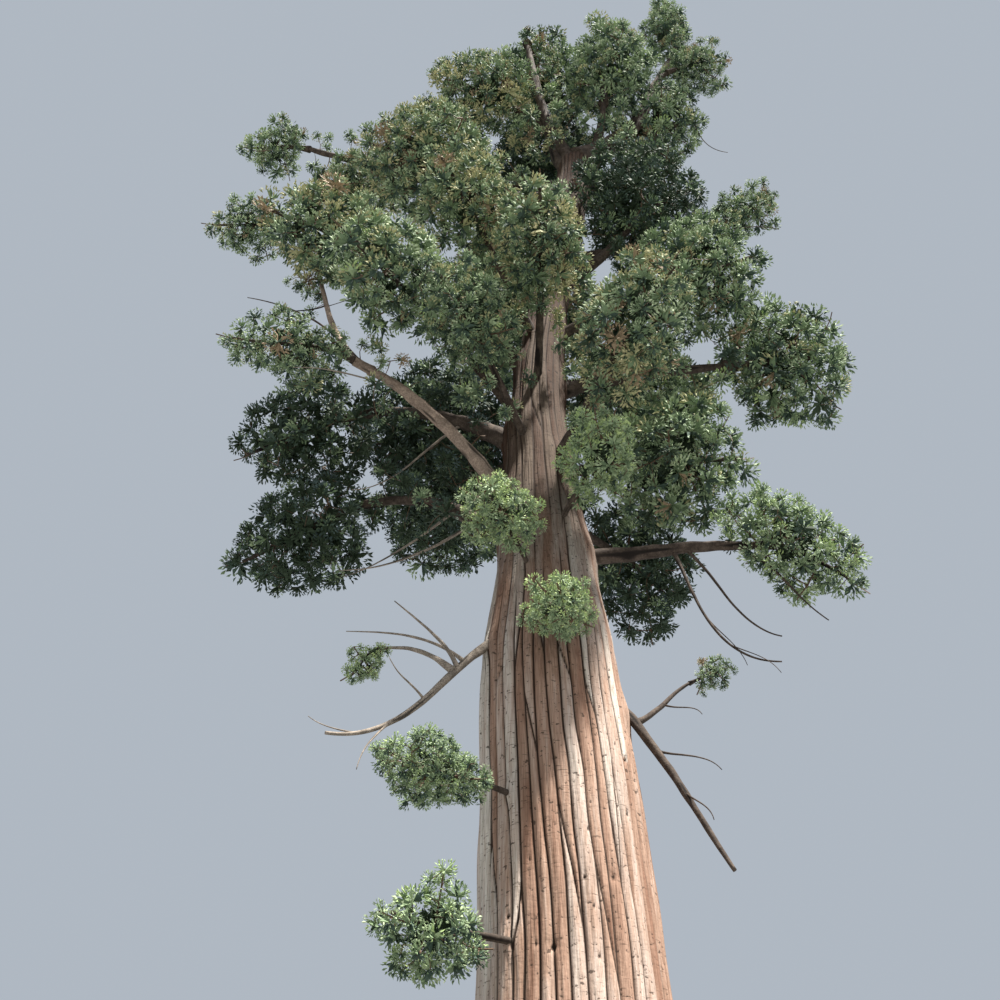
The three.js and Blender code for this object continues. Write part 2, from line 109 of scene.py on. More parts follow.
# Pits in the bark, darkened with painted shade: azimuth in degrees, height and radius
KNOTS = (
    (256, 7.07, 0.06),
    (246, 7.13, 0.03),
    (277, 7.95, 0.03),
    (296, 8.0, 0.045),
    (255, 7.87, 0.025),
    (227, 7.58, 0.035),
    (234, 7.53, 0.03),
    (282, 6.92, 0.03),
    (281, 7.57, 0.025),
    (314, 9.05, 0.035),
    (231, 7.11, 0.025),
    (243, 8.3, 0.03),
    (282, 8.67, 0.025),
    (20, 7.4, 0.05),
    (75, 8.6, 0.04),
    (140, 6.8, 0.05),
)

# Each limb's carrier, where it starts on that (a height on the trunk, a share of a limb's length),
# where it goes (a mass, or azimuth, reach and height), its rise at foot and tip in degrees,
# its radius at foot and tip, and its bark
Limb = namedtuple("Limb", "name carrier at goal foot_rise tip_rise foot_radius tip_radius slot")
LIMBS = [Limb(*row) for row in (
    ("leader_tip", "trunk", 28.7, "foliage_crown_tip", 42, 68, 0.25, 0.08, "limb_bark"),
    ("leader_right", "leader_tip", 0.2, "foliage_crown_right", 25, 40, 0.15, 0.06, "limb_bark"),
    ("leader_middle", "leader_tip", 0.1, "foliage_crown_middle", 80, 85, 0.13, 0.06, "limb_bark"),
    ("leader_back", "trunk", 28.35, "foliage_crown_back", 66, 84, 0.18, 0.07, "limb_bark"),
    ("leader_left", "trunk", 28, "foliage_crown_left", 48, 42, 0.17, 0.065, "limb_bark"),
    ("bough_upper_left_long", "trunk", 26.6, "foliage_wing_tip", 12, 30, 0.19, 0.065, "limb_bark"),
    ("bough_upper_left_high", "trunk", 27.4, "foliage_wing_back", 30, 20, 0.16, 0.065, "limb_bark"),
    ("bough_left_long", "trunk", 14.7, "foliage_left_hanging", 58, 12, 0.17, 0.08, "limb_bark"),
    ("bough_left_far", "bough_left_long", 0.93, "foliage_left_far", 50, 58, 0.065, 0.033, "limb_bark"),
    ("bough_front_left", "trunk", 19.6, "foliage_left_front", 36, 8, 0.16, 0.06, "limb_bark"),
    ("bough_left_low", "trunk", 17.2, "foliage_left_low", 42, 2, 0.2, 0.08, "limb_bark"),
    ("bough_left_shaded", "trunk", 15, "foliage_left_shaded", 26, 8, 0.21, 0.08, "limb_bark"),
    ("limb_dead", "trunk", 12.95, (204, 3.73, 9.96), -8, -6, 0.095, 0.024, "dead_wood"),
    ("limb_dead_fork", "limb_dead", 0.46, "foliage_left_tuft", 48, -10, 0.05, 0.022, "dead_wood"),
    ("bough_right_upper", "trunk", 24.1, "foliage_right_upper", 14, 24, 0.12, 0.05, "limb_bark"),
    ("bough_right_middle", "trunk", 19.2, "foliage_right_outer", 16, 10, 0.17, 0.07, "limb_bark"),
    ("bough_right_low", "trunk", 14.5, (357, 3.65, 14.76), 6, -2, 0.15, 0.07, "limb_bark"),
    ("limb_hanging_long", "bough_right_low", 0.6, (355, 3.58, 12.1), -76, -4, 0.036, 0.013, "dead_wood"),
    ("limb_hanging_short", "bough_right_low", 0.66, (3, 3.82, 13.02), -46, -4, 0.03, 0.012, "dead_wood"),
    ("limb_right_low", "trunk", 12.5, (345, 2.31, 8.37), -40, -66, 0.105, 0.03, "limb_bark"),
    ("limb_right_side", "limb_right_low", 0.42, "foliage_right_tuft", 24, 36, 0.05, 0.022, "limb_bark"),
)]
LIMB_NAMED = {limb.name: limb for limb in LIMBS}
# Painted light: these boughs get the lit copy of the limb bark
LIT_LIMBS = ("bough_left_long", "bough_left_far")
# Painted shade: these dead limbs get the shaded copy of the limb bark instead of bare wood
SHADED_DEAD_LIMBS = ("limb_hanging_long", "limb_hanging_short")

# Bare twigs on them: each one's tip is an azimuth, reach and height
# Pale twigs are bare dead wood; dark ones get the shaded copy of the limb bark: painted shade
Twig = namedtuple("Twig", "carrier at tip foot_rise tip_rise foot_radius tip_radius wood")
DEAD_TWIGS = [Twig(*row) for row in (
    ("limb_dead", 0.44, (205, 2.9, 12.6), 70, 30, 0.035, 0.008, "pale"),
    ("limb_dead", 0.4, (200, 3.55, 12.0), 40, -12, 0.03, 0.007, "pale"),
    ("limb_dead", 0.78, (208, 3.3, 9.35), -50, -80, 0.018, 0.006, "pale"),
    ("limb_dead", 0.62, (214, 3.1, 11.1), 20, 35, 0.018, 0.006, "pale"),
    ("limb_dead", 0.9, (200, 3.95, 10.35), 10, 40, 0.014, 0.005, "pale"),
    ("bough_left_shaded", 0.4, (166, 4.1, 15.2), -40, 10, 0.035, 0.008, "pale"),
    ("bough_left_shaded", 0.55, (158, 4.4, 15.6), -30, 5, 0.03, 0.007, "pale"),
    ("bough_left_low", 0.5, (172, 3.9, 16.9), -30, 8, 0.03, 0.007, "pale"),
    ("bough_left_long", 0.97, (194, 6.3, 20.4), 62, 20, 0.03, 0.008, "dark"),
    ("bough_left_far", 0.45, (196, 5.9, 19.4), -60, -85, 0.016, 0.006, "dark"),
    ("bough_left_long", 0.82, (211, 5.3, 16.6), -20, -40, 0.022, 0.006, "pale"),
    ("bough_right_low", 0.88, (356, 4.5, 12.95), -30, -50, 0.035, 0.01, "dark"),
    ("limb_hanging_long", 0.45, (1, 3.1, 12.3), -60, -80, 0.012, 0.005, "dark"),
    ("limb_hanging_long", 0.7, (352, 3.5, 11.75), -40, -70, 0.01, 0.005, "dark"),
    ("limb_right_low", 0.7, (340, 2.15, 9.05), -70, -85, 0.018, 0.006, "dark"),
    ("limb_right_low", 0.55, (352, 2.35, 10.1), -20, -60, 0.02, 0.006, "dark"),
    ("limb_right_side", 0.5, (356, 2.2, 11.2), -30, -70, 0.014, 0.005, "dark"),
    ("leader_tip", 0.75, (6, 5.4, 30.3), 0, 8, 0.03, 0.008, "dark"),
    ("bough_right_upper", 0.8, (1, 5.9, 25.6), -12, -30, 0.025, 0.007, "dark"),
)]
# A bend's handles are this share of its span. A limb ends just inside its mass, this far out from the
# centre as a share of the way to the edge.
BEND_CONTROL = 0.36
LIMB_END = 0.82
LIMB_SIDES = 26
LIMB_RING_STEP = 0.055
STEM_SIDES = 14
STEM_RING_STEP = 0.1
BEND_SAMPLES = 200
LEAST_STEPS = 4
OBSTACLE_STEP = 0.12
# A direction that no limb or twig follows exactly, to start the sides of a tube from
ASKEW = (0.31, 0.87, 0.38)

# Masses of foliage: name, what carries it, the height of its stem on the trunk (0 on a limb),
# azimuth, reach and height of its centre, its half sizes outwards, sideways and upwards,
# the tilt of its outward axis in degrees, whether it is dense, and its family of tints
MASSES = (
    ("foliage_crown_tip", "leader_tip", 0, 4, 4.4, 37.7, 2.3, 1.1, 1.1, 90, False, "green"),
    ("foliage_crown_right", "leader_right", 0, 357, 4.85, 33.9, 1.2, 0.95, 1.45, 20, False, "green"),
    ("foliage_crown_middle", "leader_middle", 0, 344, 2.3, 32.9, 2.4, 1.65, 1.5, 80, True, "green"),
    ("foliage_crown_back", "leader_back", 0, 70, 1, 35.3, 1.7, 2, 2.25, 5, True, "green"),
    ("foliage_crown_left", "leader_left", 0, 194, 1.5, 32, 1.85, 1.5, 1.8, 30, True, "olive"),
    ("foliage_crown_side", "trunk", 27.6, 7, 3.5, 31.7, 1.75, 1.5, 1.75, 15, True, "green"),
    ("foliage_crown_behind", "trunk", 27.3, 80, 2.2, 32.3, 1.9, 2.2, 2.8, 10, True, "shade"),
    ("foliage_wing_tip", "bough_upper_left_long", 0, 176, 7.2, 30.4, 1.2, 1.1, 1.2, 10, False, "green"),
    ("foliage_wing_back", "bough_upper_left_high", 0, 165, 5.2, 29.3, 1.7, 1.6, 1.5, 10, True, "olive"),
    ("foliage_wing_inner", "trunk", 25.4, 188, 2.9, 28.3, 2.1, 1.8, 2.4, 10, True, "olive"),
    ("foliage_left_far", "bough_left_far", 0, 188, 6.75, 24, 1.2, 1, 0.9, -5, False, "green"),
    ("foliage_left_front", "bough_front_left", 0, 202, 5.1, 22.3, 1.65, 1.35, 1.7, 5, True, "olive"),
    ("foliage_front_left_low", "trunk", 17.7, 226, 4.25, 18.9, 1.75, 1.25, 1.5, 8, True, "green"),
    ("foliage_front_left_high", "trunk", 20.6, 236, 2.85, 22.7, 1.55, 1.25, 1.7, 15, True, "olive"),
    ("foliage_front", "trunk", 18.9, 267, 2.8, 20.3, 1.65, 1.2, 1.5, 10, True, "olive"),
    ("foliage_left_hanging", "bough_left_long", 0, 206, 5.3, 17.65, 1.5, 0.9, 1, -15, False, "green"),
    ("foliage_front_left_inner", "trunk", 17, 240, 3.15, 18.15, 1.45, 1, 1.15, 5, True, "green"),
    ("foliage_left_low", "bough_left_low", 0, 174, 4.85, 18.5, 1.85, 1.5, 1.5, -20, True, "shade"),
    ("foliage_left_shaded", "bough_left_shaded", 0, 162, 5.05, 16.7, 1.95, 1.5, 1.45, -15, True, "shade"),
    ("foliage_left_inner", "trunk", 18, 149, 3, 19.9, 2.15, 1.7, 2, 10, True, "shade"),
    ("foliage_trunk_left", "trunk", 13.5, 244, 2.15, 13.85, 1, 0.86, 0.72, 0, True, "bright"),
    ("foliage_trunk_front", "trunk", 12, 268, 1.95, 11.85, 0.85, 0.72, 0.6, -8, True, "bright"),
    ("foliage_trunk_right", "trunk", 14.7, 290, 2.05, 15.15, 1.15, 0.85, 0.9, 5, True, "bright"),
    ("foliage_low_upper", "trunk", 9.2, 227, 2.7, 9.05, 1.1, 0.82, 0.54, -5, True, "soft"),
    ("foliage_low_lower", "trunk", 7.1, 228, 2.65, 6.9, 0.9, 0.84, 0.86, 0, True, "soft"),
    ("foliage_left_tuft", "limb_dead_fork", 0, 196, 3.15, 11.65, 0.52, 0.48, 0.42, -55, False, "bright"),
    ("foliage_right_tuft", "limb_right_side", 0, 0, 2.48, 12.08, 0.52, 0.4, 0.4, 25, False, "green"),
    ("foliage_right_upper", "bough_right_upper", 0, 3, 5.2, 26.7, 1.5, 0.8, 1, 38, False, "green"),
    ("foliage_right_high", "trunk", 20.9, 344, 3.5, 22, 1.65, 1.6, 1.95, 12, True, "green"),
    ("foliage_right_inner", "trunk", 22.9, 350, 2.4, 25.8, 1.9, 1.8, 2.6, 15, True, "shade"),
    ("foliage_front_right", "trunk", 16.5, 299, 3.1, 18, 1.7, 1.25, 1.5, 5, True, "olive"),
    ("foliage_right_outer", "bough_right_middle", 0, 3, 5.15, 20.6, 1.7, 1.5, 2.2, 12, True, "green"),
    ("foliage_right_middle", "trunk", 16.6, 0, 2.35, 17.1, 1.8, 1.6, 1.8, 5, True, "green"),
    ("foliage_right_drooping", "bough_right_low", 0, 355, 4.15, 14.6, 1.75, 1, 1.05, -45, True, "soft"),
    ("foliage_back_right_low", "trunk", 15.7, 55, 3.4, 16.9, 1.6, 1.5, 2.1, 0, True, "shade"),
    ("foliage_back_left", "trunk", 17.6, 118, 4.2, 20, 2.2, 2.2, 2.4, 8, True, "shade"),
    ("foliage_back_right", "trunk", 19.8, 50, 3.9, 22.3, 2.2, 2.1, 2.5, 8, True, "green"),
    ("foliage_back_high", "trunk", 23.8, 100, 3, 26.5, 2.35, 2.5, 3.1, 12, True, "green"),
)

# The source's rule for a mass: one stem, and branches that fan out evenly round it. Lengths on the stem
# and from the centre are shares of its length and of the space's half sizes.
SPACE_MARGIN = 0.004
GAP = 0.0003
STEM_END = 0.74
STEM_RISE = 22
STEM_RADIUS_SHARE = 0.05
STEM_SLENDERNESS = 0.008
STEM_RADIUS_LEFT = 0.35
STEM_DEEP = 0.55
ENTRY_STEP = 0.04
TWIG_LAST = 0.88
BRANCHES_DENSE = 7
BRANCHES_OPEN = 6
GOLDEN_TURN = math.pi * (3 - math.sqrt(5))
TURN_PLAY = 0.5
BRANCH_REACH = 0.82
BRANCH_SAG = 0.07
BRANCH_SWAY = 0.018
BRANCH_RADIUS = 0.012

# Finer growth: rounded heads of sprays crowd towards the outside of the space, where the branches reach.
# A value with a LEAST and a PLAY is drawn evenly from the least up to the sum of both.
HEAD_TRIES = 3400
HEAD_FULL_SIZE = 1.35
HEAD_SIZES = (0.36, 1.0)
HEAD_LEAST = 0.7
HEAD_PLAY = 0.6
HEAD_SPACING = 0.84
LOBE_WIDTH = 0.42
BUMPS = 16
BUMP_WIDTH = 0.34
BUMP_LEAST = 0.3
BUMP_PLAY = 0.7
CLUMP_BUMPS = 4
CLUMP_BUMP_WIDTH = 0.5
# A mass whose least half size is under this is a clump, and each kind is full to its own share between bumps
CLUMP_SIZE = 0.9
HOLLOW_CLUMP = 0.7
HOLLOW_DENSE = 0.76
HOLLOW_OPEN = 0.6
DEPTH_POWER = 1.5
DEPTH_SHARE = 0.85
CENTRE_CLEAR = 0.1
SIDE_CLEAR = 0.4
HEAD_CLEAR = 0.12
SPRAY_CLEAR = 0.02
# Heads deeper than this have only old shoots, in the darkest tint: older leaves and painted shade.
# Sprays that point down more than this take their hearts' darker tint: painted shade of their undersides.
INNER_SHARE = 0.5
SHADED_UNDERSIDE = -0.3
# Heads also crowd round a limb, and round a stem out of the trunk, past the share of it that stays bare
WAYSIDE_STEP = 0.15
WAYSIDE_REACH = 0.6
WAYSIDE_END = 0.85
WAYSIDE_OFF = 0.8
WAYSIDE_LEAST = 0.6
WAYSIDE_PLAY = 0.5
BARE_SHARE = 0.3
BARE_SHARES = {
    "foliage_left_hanging": 0.8,
    "foliage_left_far": 0.45,
    "foliage_right_drooping": 0.88,
}
# More of them fill the back of the crown, close to the trunk
BACK_MASSES = ("foliage_crown_behind", "foliage_back_high", "foliage_back_right", "foliage_back_left")
BACK_CROWD = 3
BACK_REACH = 1.3
BACK_BARE_SHARE = 0.1
# Twigs thicken with how many ends they carry, and thick ones are given more sides
NETWORK_STEP = 0.14
STEM_STEPS = 6
STEM_USABLE = 0.7
TWIG_RADIUS = 0.0065
TWIG_LOAD_POWER = 0.47
TWIG_LEAST_LOAD = 0.4
TWIG_BOW = 0.12
FOOT_SWELL = 1.3
TWIG_SIDES = ((0.05, 7), (0.02, 5), (0, 3))
# The most triangles that one piece of twigs or sprays may have
PIECE_LIMIT = 190000

# A spray is a rounded tuft of short shoots on a few broad older ones. Sizes are shares of its length, and
# each shoot turns by up to its PLAY in radians past a golden turn.
SPRAY_KINDS = 8
HEART_SHOOTS = 2
HEART_WIDTH = 0.3
HEART_REACH = 0.82
HEART_SPREAD = 0.5
HEART_PLAY = 3.0
TIP_SHOOTS = 9
TIP_REACH = 0.34
TIP_LEAST = 0.8
TIP_SIZE_PLAY = 0.4
TIP_SPREAD = 1.1
TIP_SHAKE = 0.3
TIP_PLAY = 0.9
TUFT_RADIUS = 0.36
TUFT_FRONT = 0.76
TUFT_ROUND = 0.24
# Deep inside a mass it has a few broad old shoots alone, in the darkest tint: older leaves and painted shade
INNER_SHOOTS = 5
INNER_WIDTH = 0.46
INNER_SPREAD = 1.3
INNER_START = -0.1
INNER_PLAY = 1.5
# A shoot's broad edge stands across it, at this share of its reach, with these shares of its width
SHOOT_MIDDLE = 0.55
SHOOT_HEIGHT = 0.45
SHOOT_SINK = 0.15
SHOOT_FACES = np.array([[0, 1, 2], [0, 3, 1], [0, 2, 3], [1, 3, 2]])
# Sprays radiate from a point behind their head's centre, over the side that faces out and up. One that
# is cut much shorter than it wants to be is left out, and so is every third one deep inside.
HEAD_LIFT = 0.25
HEAD_START = 0.15
SPRAY_FALL = 1.6
SPRAY_SHAKE = 0.18
SPRAY_REACH = 1.12
SPRAY_LEAST = 0.85
SPRAY_PLAY = 0.3
SPRAY_MIDDLE = 0.6
SHORTEST_SPRAY = 0.45
INNER_THINNING = 3
# Added to the side of a spray, so that one that points straight up has a side too
SIDE_NUDGE = 1e-4

# The record slot of each tint of leaves. Each family of masses deals its own shares of the tints.
TINT_SLOTS = {
    "fresh": "foliage_bright", "bright": "foliage_bright",
    "light": "foliage_green", "green": "foliage_green", "deep": "foliage_green",
    "olive": "foliage_olive", "straw": "foliage_olive", "rust": "foliage_olive",
    "shade": "foliage_shade", "blue": "foliage_shade", "dark": "foliage_shade",
}
# The older shoots at the heart of a spray are darker than its tips: older leaves, and painted shade
HEARTS = {
    "fresh": "green", "bright": "green", "light": "deep", "green": "deep", "deep": "shade",
    "olive": "deep", "straw": "olive", "rust": "rust", "shade": "dark", "blue": "dark", "dark": "dark",
}
# The shade family stands for masses on the crown's shaded side: its greens are painted shade
FAMILIES = {
    "green": {"light": 0.28, "green": 0.36, "deep": 0.14, "olive": 0.14, "bright": 0.06, "rust": 0.02},
    "bright": {"fresh": 0.46, "bright": 0.34, "light": 0.1, "green": 0.1},
    "soft": {"bright": 0.34, "green": 0.34, "light": 0.2, "deep": 0.12},
    "olive": {"olive": 0.34, "light": 0.2, "green": 0.2, "straw": 0.14, "rust": 0.06, "deep": 0.06},
    "shade": {"shade": 0.4, "blue": 0.28, "deep": 0.2, "green": 0.12},
}
HEAD_TINT_SHARE = 0.7

# First seeds of each kind of random draw: a mass, a limb or a kind of spray adds its own number
MASS_SEED = 100
LIMB_SEED = 300
DEAD_TWIG_SEED = 400
STEM_SEED = 500
SPRAY_SEED = 500
INNER_SPRAY_SEED = 600
TINT_SEED = 700
ROLL_SEED = 900
ROLLS_IN_MASS = 50
# A limb draws from its own seed and the two after it
SEEDS_IN_LIMB = 3


def colour(name, description, default):
    return FloatVectorProperty(
        name=name, description=description, default=default, subtype="COLOR", min=0, max=1,
    )


def length(name, description, default):
    return FloatProperty(name=name, description=description, default=default, min=0, unit="LENGTH")


class SequoiaBark(PropertyGroup):
    plates: IntProperty(
        name="Plates round the trunk", description="Ridges of bark side by side", default=38, min=8,
    )
    upper_plates: IntProperty(
        name="Plates higher up", description="Ridges side by side where the trunk is slim", default=22, min=8,
    )
    furrow_depth: length("Furrow depth", "How deep the furrows between ridges are", 0.06)
    umber: colour("Umber", "Darkest ridges", (0.25, 0.14, 0.095))
    cinnamon: colour("Cinnamon", "Orange brown ridges", (0.385, 0.255, 0.188))
    pink: colour("Pink tan", "Weathered pinkish ridges", (0.48, 0.38, 0.32))
    cream: colour("Cream", "Palest ridges", (0.64, 0.59, 0.52))
    # Painted shade: the ridges high up, inside the crown, are multiplied by this tint for the crown's shade
    upper: colour("Upper trunk", "Tint of the ridges high up, inside the crown", (0.18, 0.145, 0.122))
    # Painted shade: this dark is put into the furrows, pits, pocks and cracks of the trunk's bark
    furrow: colour("Furrow", "Dark of the furrows", (0.035, 0.022, 0.015))
    # Painted shade: the boughs' own dark bark, darkened further to the tone of limbs in the crown's shade
    limb: colour("Limb bark", "Grey brown bark of the boughs", (0.052, 0.039, 0.031))
    limb_pale: colour("Limb bark, pale", "Pale flakes on the boughs", (0.24, 0.185, 0.145))
    dead: colour("Dead wood", "Bare weathered wood", (0.4, 0.34, 0.28))
    twig: colour("Twigs", "Brown of live twigs", (0.11, 0.07, 0.045))


class SequoiaFoliage(PropertyGroup):
    head_radius: length("Head radius", "Middle radius of the rounded head of leaves at a twig's end", 0.27)
    sprays: IntProperty(
        name="Sprays in a head", description="Sprays that radiate from each head", default=7, min=1,
    )
    shoot_width: FloatProperty(
        name="Shoot width", description="Width of a leafy shoot as a share of the spray's length",
        default=0.14, min=0.01,
    )
    fresh: colour("Fresh", "Fresh green of the clumps beside the trunk", (0.42, 0.52, 0.225))
    bright: colour("Bright", "Bright green shoots in the sun", (0.33, 0.435, 0.18))
    light: colour("Light", "Light grey green", (0.385, 0.465, 0.285))
    green: colour("Green", "Middle green of the crown", (0.27, 0.345, 0.195))
    deep: colour("Deep", "Deep green of older sprays", (0.145, 0.205, 0.11))
    olive: colour("Olive", "Olive of the upper left boughs", (0.365, 0.36, 0.19))
    straw: colour("Straw", "Yellow straw of older tips", (0.47, 0.435, 0.24))
    rust: colour("Rust", "Brown of spent sprays", (0.28, 0.21, 0.13))
    # Painted shade: shade and blue are greens of leaves in the crown's shade, and dark is older leaves in its
    # deep shade
    shade: colour("Shade", "Dark green of the shaded side", (0.05, 0.08, 0.058))
    blue: colour("Blue", "Blue green of the lower left", (0.07, 0.105, 0.098))
    dark: colour("Dark", "Darkest green inside the crown", (0.035, 0.055, 0.03))


class SequoiaStage(PropertyGroup):
    floor: colour("Floor", "Colour of the floor", (0.18, 0.185, 0.19))
    backdrop: colour("Backdrop", "Colour of the light all round", (0.72, 0.8, 0.9))
    key: colour("Key colour", "Colour of the key light", (1.0, 0.96, 0.9))
    key_strength: FloatProperty(
        name="Key light", description="Strength of the key light", default=14.3, min=0,
    )
    fill_strength: FloatProperty(
        name="Fill light", description="Strength of the light all round", default=0.6, min=0,
    )


def heading(azimuth, rise):
    """A unit vector that points to an azimuth and rises above the horizontal, both in degrees."""
    turn, lift = math.radians(azimuth), math.radians(rise)
    return np.array([math.cos(turn) * math.cos(lift), math.sin(turn) * math.cos(lift), math.sin(lift)])


def placed(azimuth, reach, height):
    return heading(azimuth, 0) * reach + np.array([0, 0, height])


LEAST_LENGTH = 1e-9


def unit(vectors):
    return vectors / np.maximum(np.linalg.norm(vectors, axis=-1, keepdims=True), LEAST_LENGTH)


def smooth(low, high, values):
    """0 below low, 1 above high, and an even S between them."""
    share = np.clip((values - low) / (high - low), 0, 1)
    return share * share * (3 - 2 * share)


def seeded_stream(seed):
    """The source's seeded stream of numbers from 0 to 1."""
    word = 0xFFFFFFFF
    state = seed & word
    while True:
        state = (state + 0x6D2B79F5) & word
        mixed = ((state ^ (state >> 15)) * (1 | state)) & word
        mixed = ((mixed + (((mixed ^ (mixed >> 7)) * (61 | mixed)) & word)) & word) ^ mixed
        yield ((mixed ^ (mixed >> 14)) & word) / 4294967296


NOISE_ROWS = 256


def lattice_noise(turns, rows, columns, seed):
    """Smooth noise from 0 to 1 on a sheet that closes after so many columns: turns run 0 to 1 round it."""
    across = turns * columns
    left, below = np.floor(across).astype(int), np.floor(rows).astype(int)
    table = np.random.RandomState(seed).rand(NOISE_ROWS, columns)
    side, up = smooth(0, 1, across - left), smooth(0, 1, rows - below)
    first, second = table[below % NOISE_ROWS], table[(below + 1) % NOISE_ROWS]
    pick = np.arange(len(left))
    low = first[pick, left % columns] * (1 - side) + first[pick, (left + 1) % columns] * side
    high = second[pick, left % columns] * (1 - side) + second[pick, (left + 1) % columns] * side
    return low * (1 - up) + high * up


def trunk_line():
    """Samples of height, radius and drift on the smooth line through the trunk's stations."""
    points = np.array(TRUNK_STATIONS, float)
    padded = np.vstack([2 * points[0] - points[1], points, 2 * points[-1] - points[-2]])
    t = np.linspace(0, 1, STATION_STEPS, endpoint=False)[:, None]
    spans = []
    for before, start, end, after in zip(padded, padded[1:], padded[2:], padded[3:]):
        leave, arrive = (end - before) / 2, (after - start) / 2
        spans.append(
            (2 * t**3 - 3 * t**2 + 1) * start + (t**3 - 2 * t**2 + t) * leave
            + (3 * t**2 - 2 * t**3) * end + (t**3 - t**2) * arrive
        )
    return np.vstack([*spans, points[-1:]])


TRUNK_LINE = trunk_line()


def trunk_radius(height):
    return np.interp(height, TRUNK_LINE[:, 0], TRUNK_LINE[:, 1])


def trunk_drift(height):
    return np.interp(height, TRUNK_LINE[:, 0], TRUNK_LINE[:, 2])


def trunk_centre(height):
    return np.array([float(trunk_drift(height)), 0.0, height])


class Bend:
    """The line of whatever leaves its foot in one direction and arrives at its tip in another."""

    def __init__(self, foot, foot_direction, tip, tip_direction):
        control = np.linalg.norm(tip - foot) * BEND_CONTROL
        self.corners = np.array([foot, foot + control * foot_direction, tip - control * tip_direction, tip])
        self.tip_direction = unit(tip_direction)

    def at(self, shares):
        t = np.atleast_1d(shares)[:, None]
        weights = np.hstack([(1 - t) ** 3, 3 * t * (1 - t) ** 2, 3 * t * t * (1 - t), t**3])
        return weights @ self.corners

    def evenly(self, step):
        """Points a step apart along the line, and its length."""
        fine = self.at(np.linspace(0, 1, BEND_SAMPLES))
        run = np.concatenate([[0], np.cumsum(np.linalg.norm(np.diff(fine, axis=0), axis=1))])
        count = max(LEAST_STEPS, int(round(run[-1] / step)))
        wanted = np.linspace(0, run[-1], count + 1)
        return np.stack([np.interp(wanted, run, fine[:, axis]) for axis in range(3)], axis=1), run[-1]


class Space:
    """The room of one mass: an ellipsoid with its own axes, cut off by flat sides towards its neighbours."""

    def __init__(self, row, index):
        self.name, self.carrier, self.foot_height, azimuth, reach, height, *half = row[:9]
        tilt, self.dense, self.family = row[9:]
        self.centre = placed(azimuth, reach, height)
        turns = ((azimuth, tilt), (azimuth + 90, 0), (azimuth, tilt + 90))
        self.axes = np.array([heading(*turn) for turn in turns])
        self.half = np.array(half, float)
        self.seed = index + 1
        self.sides = []

    def inward(self, vectors):
        return (vectors @ self.axes.T) / self.half

    def outward(self, shares):
        return (np.asarray(shares) * self.half) @ self.axes

    def matrix(self):
        return self.axes.T @ np.diag(self.half**2) @ self.axes

    def support(self, direction):
        return float(np.linalg.norm(self.axes @ direction * self.half))

    def room(self, starts, directions):
        """How far rays may go before they leave the space."""
        source = self.inward(starts - self.centre)
        along = self.inward(directions)
        a = (along * along).sum(-1)
        b = (source * along).sum(-1)
        c = (source * source).sum(-1) - 1
        room = (-b + np.sqrt(np.maximum(0, b * b - a * c))) / a
        for normal, offset in self.sides:
            approach = directions @ normal
            limit = (offset - starts @ normal) / np.where(approach > 0, approach, 1)
            room = np.where(approach > 0, np.minimum(room, limit), room)
        return room

    def within_sides(self, points, margin):
        """Whether points keep a margin to the flat sides."""
        held = np.ones(len(points), bool)
        for normal, offset in self.sides:
            held &= points @ normal <= offset - margin
        return held


def separate(first, second):
    """Two spaces that would overlap share a flat side between them."""
    across = second.centre - first.centre
    normal = unit(np.linalg.solve(first.matrix() + second.matrix(), across))
    first_reach, second_reach = first.support(normal), second.support(normal)
    distance = float(normal @ across)
    if distance < first_reach + second_reach:
        offset = float(normal @ first.centre) + distance * first_reach / (first_reach + second_reach)
        first.sides.append((normal, offset - SPACE_MARGIN))
        second.sides.append((-normal, -offset - SPACE_MARGIN))


def grown_spaces():
    spaces = [Space(row, index) for index, row in enumerate(MASSES)]
    for index, space in enumerate(spaces):
        for other in spaces[index + 1:]:
            separate(space, other)
    return spaces


def azimuth_to(foot, tip):
    return math.degrees(math.atan2(tip[1] - foot[1], tip[0] - foot[0]))


def bend_to(foot, tip, foot_rise, tip_rise):
    """A bend that keeps to the azimuth from its foot to its tip."""
    azimuth = azimuth_to(foot, tip)
    return Bend(foot, heading(azimuth, foot_rise), tip, heading(azimuth, tip_rise))


def limb_lines(spaces):
    """The line of each limb by name, as the source lays them."""
    by_name = {space.name: space for space in spaces}
    lines = {}
    for limb in LIMBS:
        foot = trunk_centre(limb.at) if limb.carrier == "trunk" else lines[limb.carrier].at(limb.at)[0]
        if isinstance(limb.goal, tuple):
            tip = placed(*limb.goal)
        else:
            space = by_name[limb.goal]
            tip = space.centre + space.outward([-LIMB_END, 0, 0])
        lines[limb.name] = bend_to(foot, tip, limb.foot_rise, limb.tip_rise)
    return lines


def tree_plan():
    """The masses' spaces and the limbs' lines."""
    spaces = grown_spaces()
    return spaces, limb_lines(spaces)


class Obstacles:
    """The trunk and the limbs, which no spray may touch."""

    def __init__(self, lines):
        points = [lines[limb.name].evenly(OBSTACLE_STEP)[0] for limb in LIMBS]
        radii = [
            np.linspace(limb.foot_radius, limb.tip_radius, len(line)) for limb, line in zip(LIMBS, points)
        ]
        self.points = np.vstack(points)
        self.radii = np.concatenate(radii)

    def touched(self, points, clearance):
        heights = points[:, 2]
        axis = np.stack([trunk_drift(heights), np.zeros(len(points))], axis=1)
        off_axis = np.linalg.norm(points[:, :2] - axis, axis=1)
        in_trunk = (off_axis < trunk_radius(heights) + clearance) & (heights < TRUNK_TOP + clearance)
        gap = np.linalg.norm(points[:, None] - self.points[None], axis=2) - self.radii
        return in_trunk | (gap.min(axis=1) < clearance)


